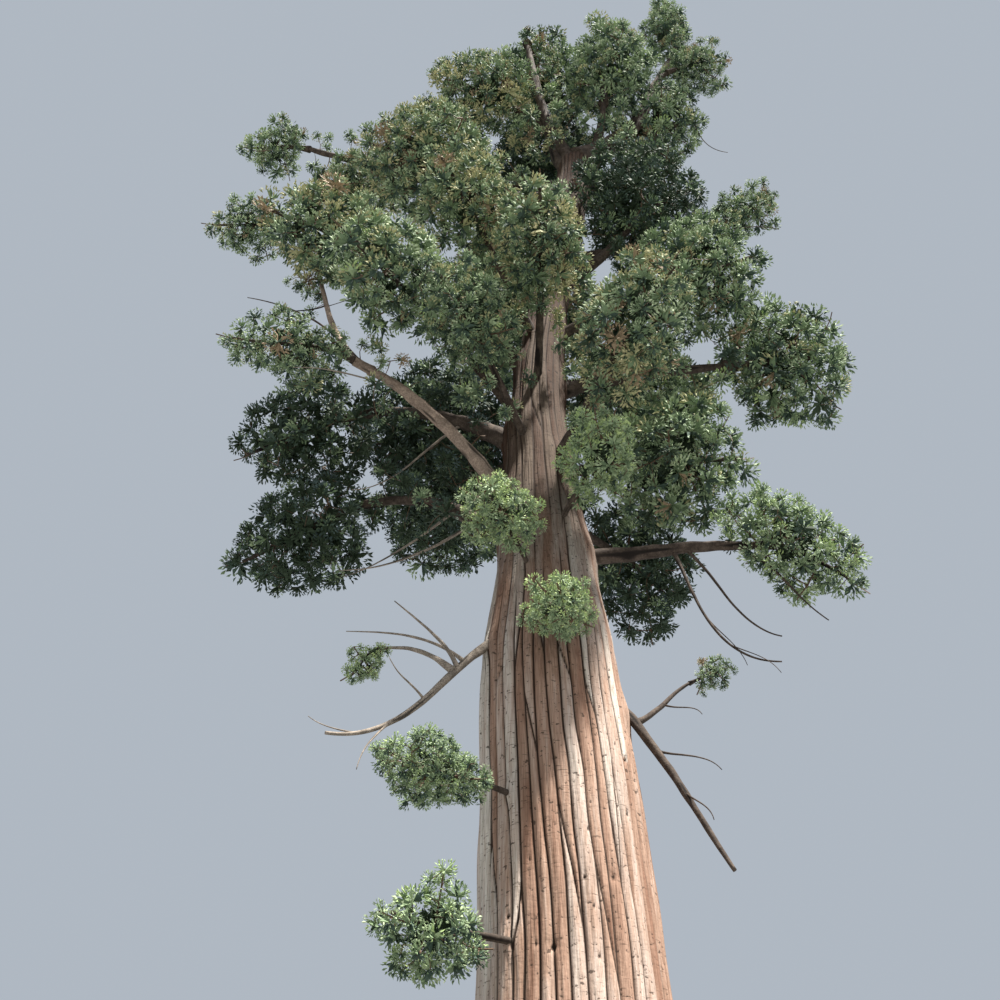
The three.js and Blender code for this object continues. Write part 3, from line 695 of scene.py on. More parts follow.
def tube(points, radii, sides):
    """A closed tube along points. radii has a row for each point, of one value or of one for each side."""
    points = np.asarray(points, float)
    tangents = unit(np.gradient(points, axis=0))
    normal = unit(np.cross(tangents[0], ASKEW))
    normals = []
    for tangent in tangents:
        normal = unit(normal - tangent * (normal @ tangent))
        normals.append(normal)
    normals = np.array(normals)
    others = np.cross(tangents, normals)
    turns = np.linspace(0, 2 * math.pi, sides, endpoint=False)
    around = np.cos(turns)[None, :, None] * normals[:, None] + np.sin(turns)[None, :, None] * others[:, None]
    spread = np.broadcast_to(np.reshape(radii, (len(points), -1)), (len(points), sides))
    rings = points[:, None] + spread[:, :, None] * around
    vertices = np.vstack([rings.reshape(-1, 3), points[:1], points[-1:]])
    return vertices, tube_faces(len(points), sides)


def tube_faces(rings, sides):
    """Triangles of a tube whose two end points follow its rings."""
    ring, side = np.meshgrid(np.arange(rings - 1), np.arange(sides), indexing="ij")
    a = (ring * sides + side).ravel()
    b = (ring * sides + (side + 1) % sides).ravel()
    walls = np.vstack([np.stack([a, b, b + sides], 1), np.stack([a, b + sides, a + sides], 1)])
    edge = np.arange(sides)
    after = (edge + 1) % sides
    foot, tip = rings * sides, rings * sides + 1
    last = (rings - 1) * sides
    foot_cap = np.stack([np.full(sides, foot), after, edge], 1)
    tip_cap = np.stack([np.full(sides, tip), last + edge, last + after], 1)
    return np.vstack([walls, foot_cap, tip_cap])


def joined(parts):
    """One array of vertices and one of faces from several pairs of them."""
    vertices, faces, start = [], [], 0
    for points, triangles in parts:
        vertices.append(points)
        faces.append(triangles + start)
        start += len(points)
    return np.vstack(vertices), np.vstack(faces)


def new_piece(name, vertices, faces, material, slot, nodes, smooth_faces=True, flat_faces=0):
    """A finished piece of the tree, riding with its body and standing for CAD nodes.

    The last flat_faces faces, its flat ends, aren't shaded smoothly.
    """
    mesh = bpy.data.meshes.new(name)
    mesh.from_pydata(vertices.astype(np.float32), [], faces)
    shading = np.full(len(faces), smooth_faces)
    shading[len(faces) - flat_faces:] = False
    mesh.polygons.foreach_set("use_smooth", shading)
    mesh.materials.append(material)
    piece = bpy.data.objects.new(name, mesh)
    bpy.context.scene.collection.objects.link(piece)
    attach(piece, "root")
    if nodes:
        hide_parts(*nodes)
    return piece


def add_attribute(piece, name, values):
    attribute = piece.data.attributes.new(name, "FLOAT", "POINT")
    attribute.data.foreach_set("value", np.asarray(values, np.float32))


# Sockets of a Mix node that mixes colours
MIX_FIRST = 6
MIX_SECOND = 7
MIX_RESULT = 2
WHITE = (1.0, 1.0, 1.0)
# Bark, wood and leaves are dull
SHEEN = 0.2


class Nodes:
    """A short way to lay the nodes of one material."""

    def __init__(self, name):
        self.material = bpy.data.materials.new(name)
        self.material.use_nodes = True
        self.tree = self.material.node_tree
        self.shader = self.tree.nodes["Principled BSDF"]

    def add(self, kind, **settings):
        node = self.tree.nodes.new(kind)
        for key, value in settings.items():
            setattr(node, key, value)
        return node

    def link(self, source, target):
        self.tree.links.new(source, target)

    def attribute(self, name):
        return self.add("ShaderNodeAttribute", attribute_name=name).outputs["Fac"]

    def place(self):
        """Object coordinates."""
        return self.add("ShaderNodeTexCoord").outputs["Object"]

    def height(self):
        """Height above the ground."""
        node = self.add("ShaderNodeSeparateXYZ")
        self.link(self.place(), node.inputs["Vector"])
        return node.outputs["Z"]

    def noise(self, repeats, detail, roughness=0.55):
        """Noise that repeats so often in a metre along X, Y and Z."""
        mapping = self.add("ShaderNodeMapping")
        mapping.inputs["Scale"].default_value = repeats
        self.link(self.place(), mapping.inputs["Vector"])
        node = self.add("ShaderNodeTexNoise")
        for name, number in (("Scale", 1.0), ("Detail", detail), ("Roughness", roughness)):
            node.inputs[name].default_value = number
        self.link(mapping.outputs["Vector"], node.inputs["Vector"])
        return node.outputs["Fac"]

    def ramp(self, factor, stops):
        node = self.add("ShaderNodeValToRGB")
        elements = node.color_ramp.elements
        while len(elements) < len(stops):
            elements.new(0.5)
        for element, (position, value) in zip(elements, stops):
            element.position = position
            element.color = (*value, 1.0)
        self.link(factor, node.inputs["Fac"])
        return node.outputs["Color"]

    def mix(self, factor, first, second, blend="MIX"):
        node = self.add("ShaderNodeMix", data_type="RGBA", blend_type=blend)
        sockets = (node.inputs["Factor"], node.inputs[MIX_FIRST], node.inputs[MIX_SECOND])
        for socket, value in zip(sockets, (factor, first, second)):
            if isinstance(value, bpy.types.NodeSocket):
                self.link(value, socket)
            elif isinstance(value, (int, float)):
                socket.default_value = value
            else:
                socket.default_value = (*value, 1.0)
        return node.outputs[MIX_RESULT]

    def weighted(self, *terms):
        """The sum of values, each times its weight."""
        total = None
        for value, weight in terms:
            node = self.add("ShaderNodeMath", operation="MULTIPLY_ADD")
            self.link(value, node.inputs[0])
            node.inputs[1].default_value = weight
            if total is None:
                node.inputs[2].default_value = 0.0
            else:
                self.link(total, node.inputs[2])
            total = node.outputs[0]
        return total

    def band(self, value, low, high, start=0.0, end=1.0):
        """A value carried from one range to another and held inside it."""
        node = self.add("ShaderNodeMapRange")
        for name, number in (("From Min", low), ("From Max", high), ("To Min", start), ("To Max", end)):
            node.inputs[name].default_value = number
        self.link(value, node.inputs["Value"])
        return node.outputs["Result"]

    def bump(self, height, strength, distance):
        node = self.add("ShaderNodeBump")
        node.inputs["Strength"].default_value = strength
        node.inputs["Distance"].default_value = distance
        self.link(height, node.inputs["Height"])
        self.link(node.outputs["Normal"], self.shader.inputs["Normal"])

    def finish(self, base, roughness):
        """Sets or links the shader's colour and roughness: the material."""
        for name, value in (("Base Color", base), ("Roughness", roughness), ("Specular IOR Level", SHEEN)):
            if isinstance(value, bpy.types.NodeSocket):
                self.link(value, self.shader.inputs[name])
            else:
                self.shader.inputs[name].default_value = value
        return self.material


# Patterns of the trunk's bark: repeats in a metre along X, Y and Z, and detail
STREAKS = ((11, 11, 0.6), 4)
FIBRES = ((60, 60, 2.2), 3)
PATCHES = ((1.1, 1.1, 0.35), 3)
POCKS = ((13, 13, 16), 2)
CRACKS = ((4.5, 4.5, 48), 2)
# How much the plate, streaks and patches count in a ridge's tone, and where the tone meets each tint
TONE_WEIGHTS = (0.85, 1.1, 0.8)
TONE_BAND = (0.8, 1.95)
TONE_STOPS = (0.0, 0.3, 0.55, 0.9)
FIBRE_STOPS = ((0.3, (0.6, 0.56, 0.52)), (0.6, WHITE))
# Ranges of a pattern, an attribute or the height, and of the share or the roughness each stands for
POCK_BAND = (0.63, 0.69, 0.0, 0.8)
CRACK_BAND = (0.64, 0.71, 0.0, 0.65)
SHADED_HEIGHTS = (11.0, 16.0)
FURROW_BAND = (0.25, 0.85)
TRUNK_ROUGHNESS = (0.2, 0.8, 0.82, 0.97)
POCK_DENT = -0.6
TRUNK_BUMP = (0.8, 0.014)


def trunk_bark_material(bark):
    """Ridges from umber to cream, with fibres along the trunk, and painted shade in the furrows, pocks and
    short cracks.
    """
    nodes = Nodes("trunk_bark")
    patterns = (nodes.noise(*shape) for shape in (STREAKS, PATCHES, FIBRES, POCKS, CRACKS))
    streaks, patches, fibres, pocks, cracks = patterns
    tone = nodes.weighted(*zip((nodes.attribute("plate"), streaks, patches), TONE_WEIGHTS))
    tints = (bark.umber, bark.cinnamon, bark.pink, bark.cream)
    ridge = nodes.ramp(nodes.band(tone, *TONE_BAND), tuple(zip(TONE_STOPS, tints)))
    ridge = nodes.mix(1.0, ridge, nodes.ramp(fibres, FIBRE_STOPS), "MULTIPLY")
    # Painted shade: pocks, cracks and then the furrows are darkened towards the furrows' dark
    ridge = nodes.mix(nodes.band(pocks, *POCK_BAND), ridge, bark.furrow)
    ridge = nodes.mix(nodes.band(cracks, *CRACK_BAND), ridge, bark.furrow)
    # Painted shade of the crown: between the shaded heights the ridges are darkened by the upper trunk's tint
    shaded = nodes.mix(1.0, ridge, bark.upper, "MULTIPLY")
    ridge = nodes.mix(nodes.band(nodes.height(), *SHADED_HEIGHTS), ridge, shaded)
    base = nodes.mix(nodes.band(nodes.attribute("furrow"), *FURROW_BAND), ridge, bark.furrow)
    nodes.bump(nodes.weighted((fibres, 1.0), (pocks, POCK_DENT)), *TRUNK_BUMP)
    return nodes.finish(base, nodes.band(fibres, *TRUNK_ROUGHNESS))


FLAKES = ((7, 7, 7), 5, 0.65)
SPECKS = ((38, 38, 38), 3)
FLAKE_BAND = (0.4, 0.66)
SPECK_STOPS = ((0.3, (0.55, 0.52, 0.5)), (0.65, WHITE))
LIMB_FURROW_BAND = (0.3, 0.9)
FURROW_SHADE = 0.25
LIMB_ROUGHNESS = (0.2, 0.8, 0.8, 0.95)
LIMB_BUMP = (0.6, 0.02)


def limb_bark_material(name, dark, pale):
    """Scaly bark with pale flakes, or bare weathered wood, with painted shade between their ridges."""
    nodes = Nodes(name)
    flakes, specks = nodes.noise(*FLAKES), nodes.noise(*SPECKS)
    base = nodes.mix(nodes.band(flakes, *FLAKE_BAND), dark, pale)
    base = nodes.mix(1.0, base, nodes.ramp(specks, SPECK_STOPS), "MULTIPLY")
    shadow = tuple(FURROW_SHADE * value for value in dark)
    base = nodes.mix(nodes.band(nodes.attribute("furrow"), *LIMB_FURROW_BAND), base, shadow)
    nodes.bump(nodes.mix(0.5, flakes, specks), *LIMB_BUMP)
    return nodes.finish(base, nodes.band(specks, *LIMB_ROUGHNESS))


LEAF_ROUGHNESS = 0.68


def plain_material(name, tint):
    """One plain tint, for leaves and twigs: leaf tints are dealt out spray by spray."""
    return Nodes(name).finish((*tint, 1.0), LEAF_ROUGHNESS)


# Plates' borders sway in waves (length, how many go round, seed and weight) and lean a little with height
PLATE_WAVES = ((3.4, 9, 11, 1.0), (0.8, 27, 12, 0.3))
PLATE_SWAY = 0.55
PLATE_LEAN = 0.02
# Their middles are shaken off a lattice of so many rows, by these shares of its columns and rows
PLATE_ROWS = 32
PLATE_SHAKE_ACROSS = 0.5
PLATE_SHAKE_ALONG = 0.7
PLATE_STAGGER = 0.5
PLATE_SEED = 21
LEAST_SLOPE = 1e-6


def waves_round(turns, heights, length_along, count, seed):
    """Smooth noise from -0.5 to 0.5 by the length of its waves and how many go round."""
    return lattice_noise(turns, heights / length_along, count, seed) - 0.5


def bark_plates(turns, heights, columns):
    """For points on the trunk: how far each is from the nearest furrow in metres, and a tone for its plate.

    Each plate is a long cell round a point that is shaken off a staggered lattice.
    """
    sway = sum(weight * waves_round(turns, heights, *wave) for *wave, weight in PLATE_WAVES)
    across = turns * columns + PLATE_SWAY * sway + PLATE_LEAN * heights
    along = heights / PLATE_LENGTH
    shaken = np.random.RandomState(PLATE_SEED)
    shift_across = PLATE_SHAKE_ACROSS * (shaken.rand(PLATE_ROWS, columns) - 0.5)
    shift_along = PLATE_SHAKE_ALONG * (shaken.rand(PLATE_ROWS, columns) - 0.5)
    tones = shaken.rand(PLATE_ROWS, columns)
    home = np.floor(across).astype(int)
    gaps, cell_tones = [], []
    for side in (-1, 0, 1):
        column = home + side
        stagger = PLATE_STAGGER * (column % 2)
        level = np.floor(along - stagger).astype(int)
        for rise in (-1, 0, 1):
            row = level + rise
            pick = (row % PLATE_ROWS, column % columns)
            gap_across = across - (column + 0.5 + shift_across[pick])
            gap_along = along - (row + stagger + 0.5 + shift_along[pick])
            gaps.append(np.stack([gap_across, gap_along], 1))
            cell_tones.append(tones[pick])
    gaps, squares = np.array(gaps), (np.array(gaps) ** 2).sum(-1)
    nearest, each = squares.argmin(0), np.arange(len(turns))
    own = gaps[nearest, each]
    # The border with a neighbour is where both squares are equal, and its slope makes that a distance
    scale = np.stack([2 * math.pi * trunk_radius(heights) / columns, np.full(len(turns), PLATE_LENGTH)], 1)
    slope = np.linalg.norm((gaps - own) / scale, axis=-1)
    border = (squares - squares[nearest, each]) / 2 / np.maximum(slope, LEAST_SLOPE)
    border[nearest, each] = np.inf
    return border.min(0), np.array(cell_tones)[nearest, each]


# Distances from the middle of a furrow over which its wall and then the ridge's shoulder rise, and over
# which its painted shade fades
FURROW_WALL = (0.0, 0.032)
RIDGE_SHOULDER = (0.02, 0.11)
WALL_SHARE = 0.7
FURROW_DARK = (0.003, 0.026)
# The share of the furrows' depth that lies under the trunk's smooth skin
SUNKEN_SHARE = 0.8
# Furrows are as deep as set where the trunk has this radius, and elsewhere within these shares of that
FULL_DEPTH_RADIUS = 1.3
DEPTH_SHARES = (0.4, 1.15)
# Finer relief: the length of its waves, how many go round (in one plate, or in all), seed, and its height
FIBRE_WAVES = ((0.8, 5, 13, 0.016), (0.45, 10, 15, 0.008))
BROAD_WAVES = (1.4, 14, 14, 0.03)
PLATE_RELIEF = 0.02
KNOT_WIDTH = 0.6
KNOT_DARK = (0.3, 0.7)
# Where a limb leaves the trunk, the bark swells by a share of the limb's radius, over this many of its radii
COLLAR_SWELL = 0.55
COLLAR_SPREAD = 1.5
COLLAR_FLATNESS = 0.7
COLLAR_STEP = 0.05
DOME_CLOSING = 0.97


def trunk_form(height, angle):
    """The trunk's smooth radius, with its flare and the lobes of its roots."""
    flare = FLARE_RADIUS * np.exp(-height / FLARE_HEIGHT)
    lobes = np.cos(ROOT_LOBES * angle) + BROAD_LOBE_SHARE * np.cos(BROAD_LOBES * angle + 1)
    swell = 1 + ROOT_LOBE_DEPTH * np.exp(-height / ROOT_LOBE_HEIGHT) * lobes
    return (trunk_radius(height) + flare) * swell


def bark_relief(height, turn, bark):
    """How far the bark stands off the trunk's smooth skin, how much painted shade its furrows give it, and
    how pale.
    """
    lower, upper = (bark_plates(turn, height, count) for count in (bark.plates, bark.upper_plates))
    merge = smooth(*PLATES_MERGE, height)
    edge, plate = (low + merge * (high - low) for low, high in zip(lower, upper))
    ridge = WALL_SHARE * smooth(*FURROW_WALL, edge) + (1 - WALL_SHARE) * smooth(*RIDGE_SHOULDER, edge)
    depth = bark.furrow_depth * np.clip(trunk_radius(height) / FULL_DEPTH_RADIUS, *DEPTH_SHARES)
    relief = depth * (ridge - SUNKEN_SHARE)
    for wave, in_plate, seed, size in FIBRE_WAVES:
        relief += size * waves_round(turn, height, wave, in_plate * bark.plates, seed)
    *wave, size = BROAD_WAVES
    relief += size * waves_round(turn, height, *wave)
    return relief + PLATE_RELIEF * (plate - 0.5), 1 - smooth(*FURROW_DARK, edge), plate


def bulge(around, up, width):
    """A soft bump of height 1 round a place on the bark, by the distance from it around and up the trunk."""
    return np.exp(-(around**2 + up**2) / (2 * width**2))


def trunk_skin(low, high, bark, lines, spaces):
    """The trunk's bark between two heights: vertices, faces, and each vertex's painted shade of furrows and
    pits, and tone.
    """
    levels = low + np.arange(-1, TRUNK_RINGS + 2) * (high - low) / TRUNK_RINGS
    levels = levels[(levels > -FLAT_MARGIN) & (levels < TRUNK_TOP + FLAT_MARGIN)]
    height, turn = np.meshgrid(levels, np.arange(TRUNK_TURNS) / TRUNK_TURNS, indexing="ij")
    height, turn = height.ravel(), turn.ravel()
    angle = 2 * math.pi * turn
    relief, furrow, plate = bark_relief(height, turn, bark)
    radius = trunk_form(height, angle) + relief

    def around(azimuth):
        return ((angle - azimuth + math.pi) % (2 * math.pi) - math.pi) * radius

    for azimuth, at, size in KNOTS:
        pit = bulge(around(math.radians(azimuth)), height - at, KNOT_WIDTH * size)
        radius -= size * pit
        furrow = np.maximum(furrow, smooth(*KNOT_DARK, pit))

    for line, line_radius in collars(lines, spaces):
        out = line[:, :2] - np.stack([trunk_drift(line[:, 2]), 0 * line[:, 0]], 1)
        leaving = np.argmax(np.linalg.norm(out, axis=1) > trunk_radius(line[:, 2]))
        azimuth, up = math.atan2(out[leaving, 1], out[leaving, 0]), height - line[leaving, 2]
        swelling = bulge(around(azimuth), COLLAR_FLATNESS * up, COLLAR_SPREAD * line_radius)
        radius += COLLAR_SWELL * line_radius * swelling

    # One more ring is tucked inside the other piece, so that both are shaded alike where they meet
    radius -= TRUNK_TUCK * ((height < low - FLAT_MARGIN) | (height > high + FLAT_MARGIN))
    # The top closes in a low dome between the leaders
    radius *= np.sqrt(1 - DOME_CLOSING * np.clip(1 - (TRUNK_TOP - height) / TRUNK_DOME, 0, 1) ** 2)
    vertices = np.stack([trunk_drift(height) + radius * np.cos(angle), radius * np.sin(angle), height], 1)
    ends = np.array([trunk_centre(levels[0]), trunk_centre(levels[-1])])
    furrow = np.concatenate([furrow, [1, 1]])
    plate = np.concatenate([plate, [0, 0]])
    return np.vstack([vertices, ends]), tube_faces(len(levels), TRUNK_TURNS), furrow, plate


def collars(lines, spaces):
    """The line and foot radius of everything that grows straight out of the trunk."""
    for limb in LIMBS:
        if limb.carrier == "trunk":
            yield lines[limb.name].evenly(COLLAR_STEP)[0], limb.foot_radius
    for space in spaces:
        if space.carrier == "trunk":
            line, radius = mass_stem(space, lines)
            yield line.evenly(COLLAR_STEP)[0], radius


def mass_stem(space, lines):
    """The line and foot radius of a mass's stem, which starts in the trunk or just off its limb's tip."""
    end = space.centre + space.outward([STEM_END, 0, 0])
    if space.carrier == "trunk":
        foot = trunk_centre(space.foot_height)
        direction = heading(azimuth_to(foot, space.centre), STEM_RISE)
    else:
        direction = lines[space.carrier].tip_direction
        foot = lines[space.carrier].at(1)[0] + GAP * direction
    radius = STEM_RADIUS_SHARE * space.half.min() + STEM_SLENDERNESS * np.linalg.norm(end - foot)
    return Bend(foot, direction, end, space.axes[0]), radius


# A limb wanders off its line in a few sets of waves, by shares of its foot's radius and of its length
WAVER_COUNTS = (3, 7, 15)
WAVER_RADIUS_SHARE = 0.6
WAVER_LENGTH_SHARE = 0.01
WAVER_HOLD = 0.7
# It swells into its carrier by this share, over this many radii
FOOT_SPREAD_SHARE = 0.5
FOOT_SPREAD = 4
# Ridges run along it: how long they are, how many stand round a stout or a thin limb, and how deep they are
STOUT_RADIUS = 0.06
THIN_SIDES = 12
RIDGE_LENGTH = 0.5
STOUT_RIDGES = 7
THIN_RIDGES = 4
LIVE_DEPTH = 0.3
DEAD_DEPTH = 0.16
# Painted shade between the ridges fades over this range of their relief
RIDGE_DARK = (0.1, 0.45)
LUMP_LENGTH = 0.22
LUMPS_ROUND = 3
LUMP_DEPTH = 0.22


def limb_skin(line, foot_radius, tip_radius, seed, dead, sides=LIMB_SIDES, step=LIMB_RING_STEP):
    """A limb's bark: a tube that swells into its carrier, wanders a little and is ridged lengthwise."""
    points, run = line.evenly(step)
    share = np.linspace(0, 1, len(points))
    random = np.random.RandomState(seed)
    waver = np.zeros(points.shape)
    for waves in WAVER_COUNTS:
        phases, sizes = random.rand(3) * 2 * math.pi, random.rand(3) - 0.5
        waver += sizes * np.sin(waves * share[:, None] * 2 + phases) / waves
    held = np.sin(math.pi * share) ** WAVER_HOLD
    points = points + waver * (held * (WAVER_RADIUS_SHARE * foot_radius + WAVER_LENGTH_SHARE * run))[:, None]
    sides, ridges = (sides, STOUT_RIDGES) if foot_radius > STOUT_RADIUS else (THIN_SIDES, THIN_RIDGES)
    swell = 1 + FOOT_SPREAD_SHARE * np.exp(-share * run / (FOOT_SPREAD * foot_radius))
    base = np.linspace(foot_radius, tip_radius, len(points)) * swell
    turn, ring = np.meshgrid(np.arange(sides) / sides, share * run, indexing="xy")
    relief = lattice_noise(turn.ravel(), ring.ravel() / RIDGE_LENGTH, ridges, seed + 1).reshape(turn.shape)
    lumps = lattice_noise(turn.ravel(), ring.ravel() / LUMP_LENGTH, LUMPS_ROUND, seed + 2).reshape(turn.shape)
    depth = DEAD_DEPTH if dead else LIVE_DEPTH
    radii = base[:, None] * (1 + depth * (relief - 0.5) + LUMP_DEPTH * (lumps - 0.5))
    # Painted shade in the low parts between the ridges
    furrow = np.concatenate([1 - smooth(*RIDGE_DARK, relief).ravel(), [0, 0]])
    return (*tube(points, radii, sides), furrow)


def add_skins(name, skins, material, slot, nodes):
    """One piece from the skins of several limbs, with the painted shade of their furrows."""
    vertices, faces = joined([(points, triangles) for points, triangles, _ in skins])
    piece = new_piece(name, vertices, faces, material, slot, nodes)
    add_attribute(piece, "furrow", np.concatenate([furrow for _, _, furrow in skins]))


class Network:
    """Stem, branches and twigs of one mass, as points that each know the point they grow from."""

    def __init__(self):
        self.points, self.parents, self.chains, self.least = [], [], [], []

    def grow(self, points, parent, least=0.0):
        """Adds a chain of points that starts from a parent point, or from nothing where it is negative."""
        chain = [parent] if parent >= 0 else []
        for point, least_radius in zip(points, np.broadcast_to(least, len(points))):
            self.points.append(point)
            self.parents.append(parent)
            self.least.append(least_radius)
            parent = len(self.points) - 1
            chain.append(parent)
        self.chains.append(chain)
        return chain

    def places(self, chain):
        return np.array([self.points[index] for index in chain])

    def steps(self, gap):
        """Even shares of a gap, one for each point of a chain that crosses it."""
        return np.linspace(0, 1, max(2, int(gap / NETWORK_STEP)) + 1)[1:, None]

    def radii(self, tips):
        """A radius for each point, by how many twig ends it carries."""
        load = np.zeros(len(self.points))
        load[tips] = 1
        for index in range(len(load) - 1, 0, -1):
            if self.parents[index] >= 0:
                load[self.parents[index]] += load[index]
        return np.maximum(TWIG_RADIUS * np.maximum(load, TWIG_LEAST_LOAD) ** TWIG_LOAD_POWER, self.least)


def head_size(space, foliage):
    return foliage.head_radius * float(np.clip(space.half.min() / HEAD_FULL_SIZE, *HEAD_SIZES))


def wayside_heads(space, line, line_radius, foliage, random):
    """Heads that crowd round a limb on its way to its mass: centres, radii, and what they face away from."""
    feet, _ = line.evenly(WAYSIDE_STEP)
    ahead = unit(np.gradient(feet, axis=0))
    crowd, span, bare = 1, WAYSIDE_REACH, BARE_SHARES.get(space.name, BARE_SHARE)
    if space.name in BACK_MASSES:
        crowd, span, bare = BACK_CROWD, BACK_REACH, BACK_BARE_SHARE
    first = int(bare * (len(feet) - 2))
    feet, ahead = (np.repeat(values[first:], crowd, axis=0) for values in (feet, ahead))
    radii = head_size(space, foliage) * (WAYSIDE_LEAST + WAYSIDE_PLAY * random.rand(len(feet)))
    across = unit(np.cross(ahead, random.normal(size=feet.shape)))
    away = line_radius + WAYSIDE_OFF * radii + span * random.rand(len(feet))
    centres = feet + across * away[:, None]
    outside = np.linalg.norm(space.inward(centres - space.centre), axis=1) > WAYSIDE_END
    outside &= space.half.min() >= CLUMP_SIZE
    return centres[outside], radii[outside], feet[outside]


def angles_to(directions, others):
    """The angle between each direction and each of some others."""
    return np.arccos(np.clip(directions @ unit(others).T, -1, 1))


def head_centres(space, aims, foliage, random):
    """Centres and radii of rounded heads that fill a space from the outside in, and how deep each lies.

    The space swells where its branches point, and in lesser bumps between them.
    """
    clump = space.half.min() < CLUMP_SIZE
    hollow = HOLLOW_OPEN if not space.dense else HOLLOW_CLUMP if clump else HOLLOW_DENSE
    radii = head_size(space, foliage) * (HEAD_LEAST + HEAD_PLAY * random.rand(HEAD_TRIES))
    directions = unit(random.normal(size=(HEAD_TRIES, 3)))
    off_aims = angles_to(directions, aims).min(axis=1)
    count, width = (CLUMP_BUMPS, CLUMP_BUMP_WIDTH) if clump else (BUMPS, BUMP_WIDTH)
    bumps, rises = random.normal(size=(count, 3)), BUMP_LEAST + BUMP_PLAY * random.rand(count)
    swell = (rises * np.exp(-((angles_to(directions, bumps) / width) ** 2))).max(axis=1)
    limit = hollow + (1 - hollow) * np.maximum(swell, np.exp(-((off_aims / LOBE_WIDTH) ** 2)))
    reach = np.linalg.norm(space.outward(directions), axis=1)
    depth = random.rand(HEAD_TRIES) ** DEPTH_POWER
    shares = (limit - radii / reach) * (1 - DEPTH_SHARE * depth)
    points = space.centre + space.outward(directions * shares[:, None])
    usable = (shares > CENTRE_CLEAR) & space.within_sides(points, SIDE_CLEAR * radii)
    kept = []
    for index in np.argsort(depth):
        if not usable[index]:
            continue
        gaps = np.linalg.norm(points[kept] - points[index], axis=1)
        if not kept or (gaps > HEAD_SPACING * (radii[kept] + radii[index])).all():
            kept.append(index)
    return points[kept], radii[kept], depth[kept]


# The heads of one mass: each one's centre, radius, depth, whether it stands along the mass's limb or stem,
# and the point that it faces away from
Heads = namedtuple("Heads", "centres radii depths beside backs")


def picked(heads, choice):
    return Heads(*(values[choice] for values in heads))


def all_heads(space, aims, limb, limb_radius, foliage, random):
    """The heads that fill a mass's space and those along its limb."""
    centres, radii, depths = head_centres(space, aims, foliage, random)
    wayside, wayside_radii, feet = wayside_heads(space, limb, limb_radius, foliage, random)
    return Heads(
        np.vstack([centres, wayside]),
        np.concatenate([radii, wayside_radii]),
        np.concatenate([depths, np.zeros(len(wayside))]),
        np.arange(len(centres) + len(wayside)) >= len(centres),
        np.vstack([np.broadcast_to(space.centre, centres.shape), feet]),
    )


def stem_entry(space, stem):
    """How far along its stem a mass starts to branch."""
    entry = 0.0
    while entry < TWIG_LAST and np.linalg.norm(space.inward(stem.at(entry)[0] - space.centre)) > STEM_DEEP:
        entry += ENTRY_STEP
    return entry


def grow_branches(space, network, stem_chain, entry, random):
    """Adds the source's branches to a mass's stem: where they aim, and their points."""
    stream = seeded_stream(space.seed)
    last = BRANCHES_DENSE if space.dense else BRANCHES_OPEN
    aims, grown_points = [], []
    for i in range(last + 1):
        forward = 1 - 2 * i / last
        turn = i * GOLDEN_TURN + next(stream) * TURN_PLAY
        # The source draws twice more for each branch, to turn its blade
        next(stream), next(stream)
        ring = math.sqrt(max(0, 1 - forward * forward))
        aims.append(np.array([forward, ring * math.cos(turn), ring * math.sin(turn)]))
        share = entry + (forward + 1) / 2 * (TWIG_LAST - entry)
        foot = stem_chain[int(round(share * (len(stem_chain) - 1)))]
        start = network.points[foot]
        direction = unit(space.centre + space.outward(aims[-1]) - start)
        reach = BRANCH_REACH * float(space.room(start[None], direction[None])[0])
        if reach >= 2 * NETWORK_STEP:
            along = network.steps(reach)
            sag = np.sin(math.pi * along) * BRANCH_SAG * reach * np.array([0, 0, -1.0])
            sway = np.cumsum(random.normal(size=(len(along), 3)), axis=0) * BRANCH_SWAY
            line = start + along * reach * direction + sag + sway
            grown_points += network.grow(line, foot, BRANCH_RADIUS)[1:]
    return np.array(aims), grown_points


def grow_twigs(network, usable, centres, random):
    """Adds a twig to each centre from the nearest usable point so far: the twigs' ends."""
    usable, tips = list(usable), []
    for centre in centres:
        foot = usable[int(np.argmin(np.linalg.norm(network.places(usable) - centre, axis=1)))]
        start = network.points[foot]
        gap = np.linalg.norm(centre - start)
        along = network.steps(gap)
        bow = np.sin(math.pi * along) * gap * TWIG_BOW * random.normal(size=3)
        chain = network.grow(start + along * (centre - start) + bow, foot)
        usable += chain[1:]
        tips.append(chain[-1])
    return tips


def twig_tubes(network, tips, barked):
    """The tubes of all chains past the first few, which have a bark of their own."""
    radii = network.radii(tips)
    parts = []
    for chain in network.chains[barked:]:
        sizes = radii[chain]
        sizes[0] = min(sizes[0], FOOT_SWELL * sizes[1])
        sides = next(sides for least, sides in TWIG_SIDES if sizes.max() > least)
        parts.append(tube(network.places(chain), sizes, sides))
    return joined(parts)


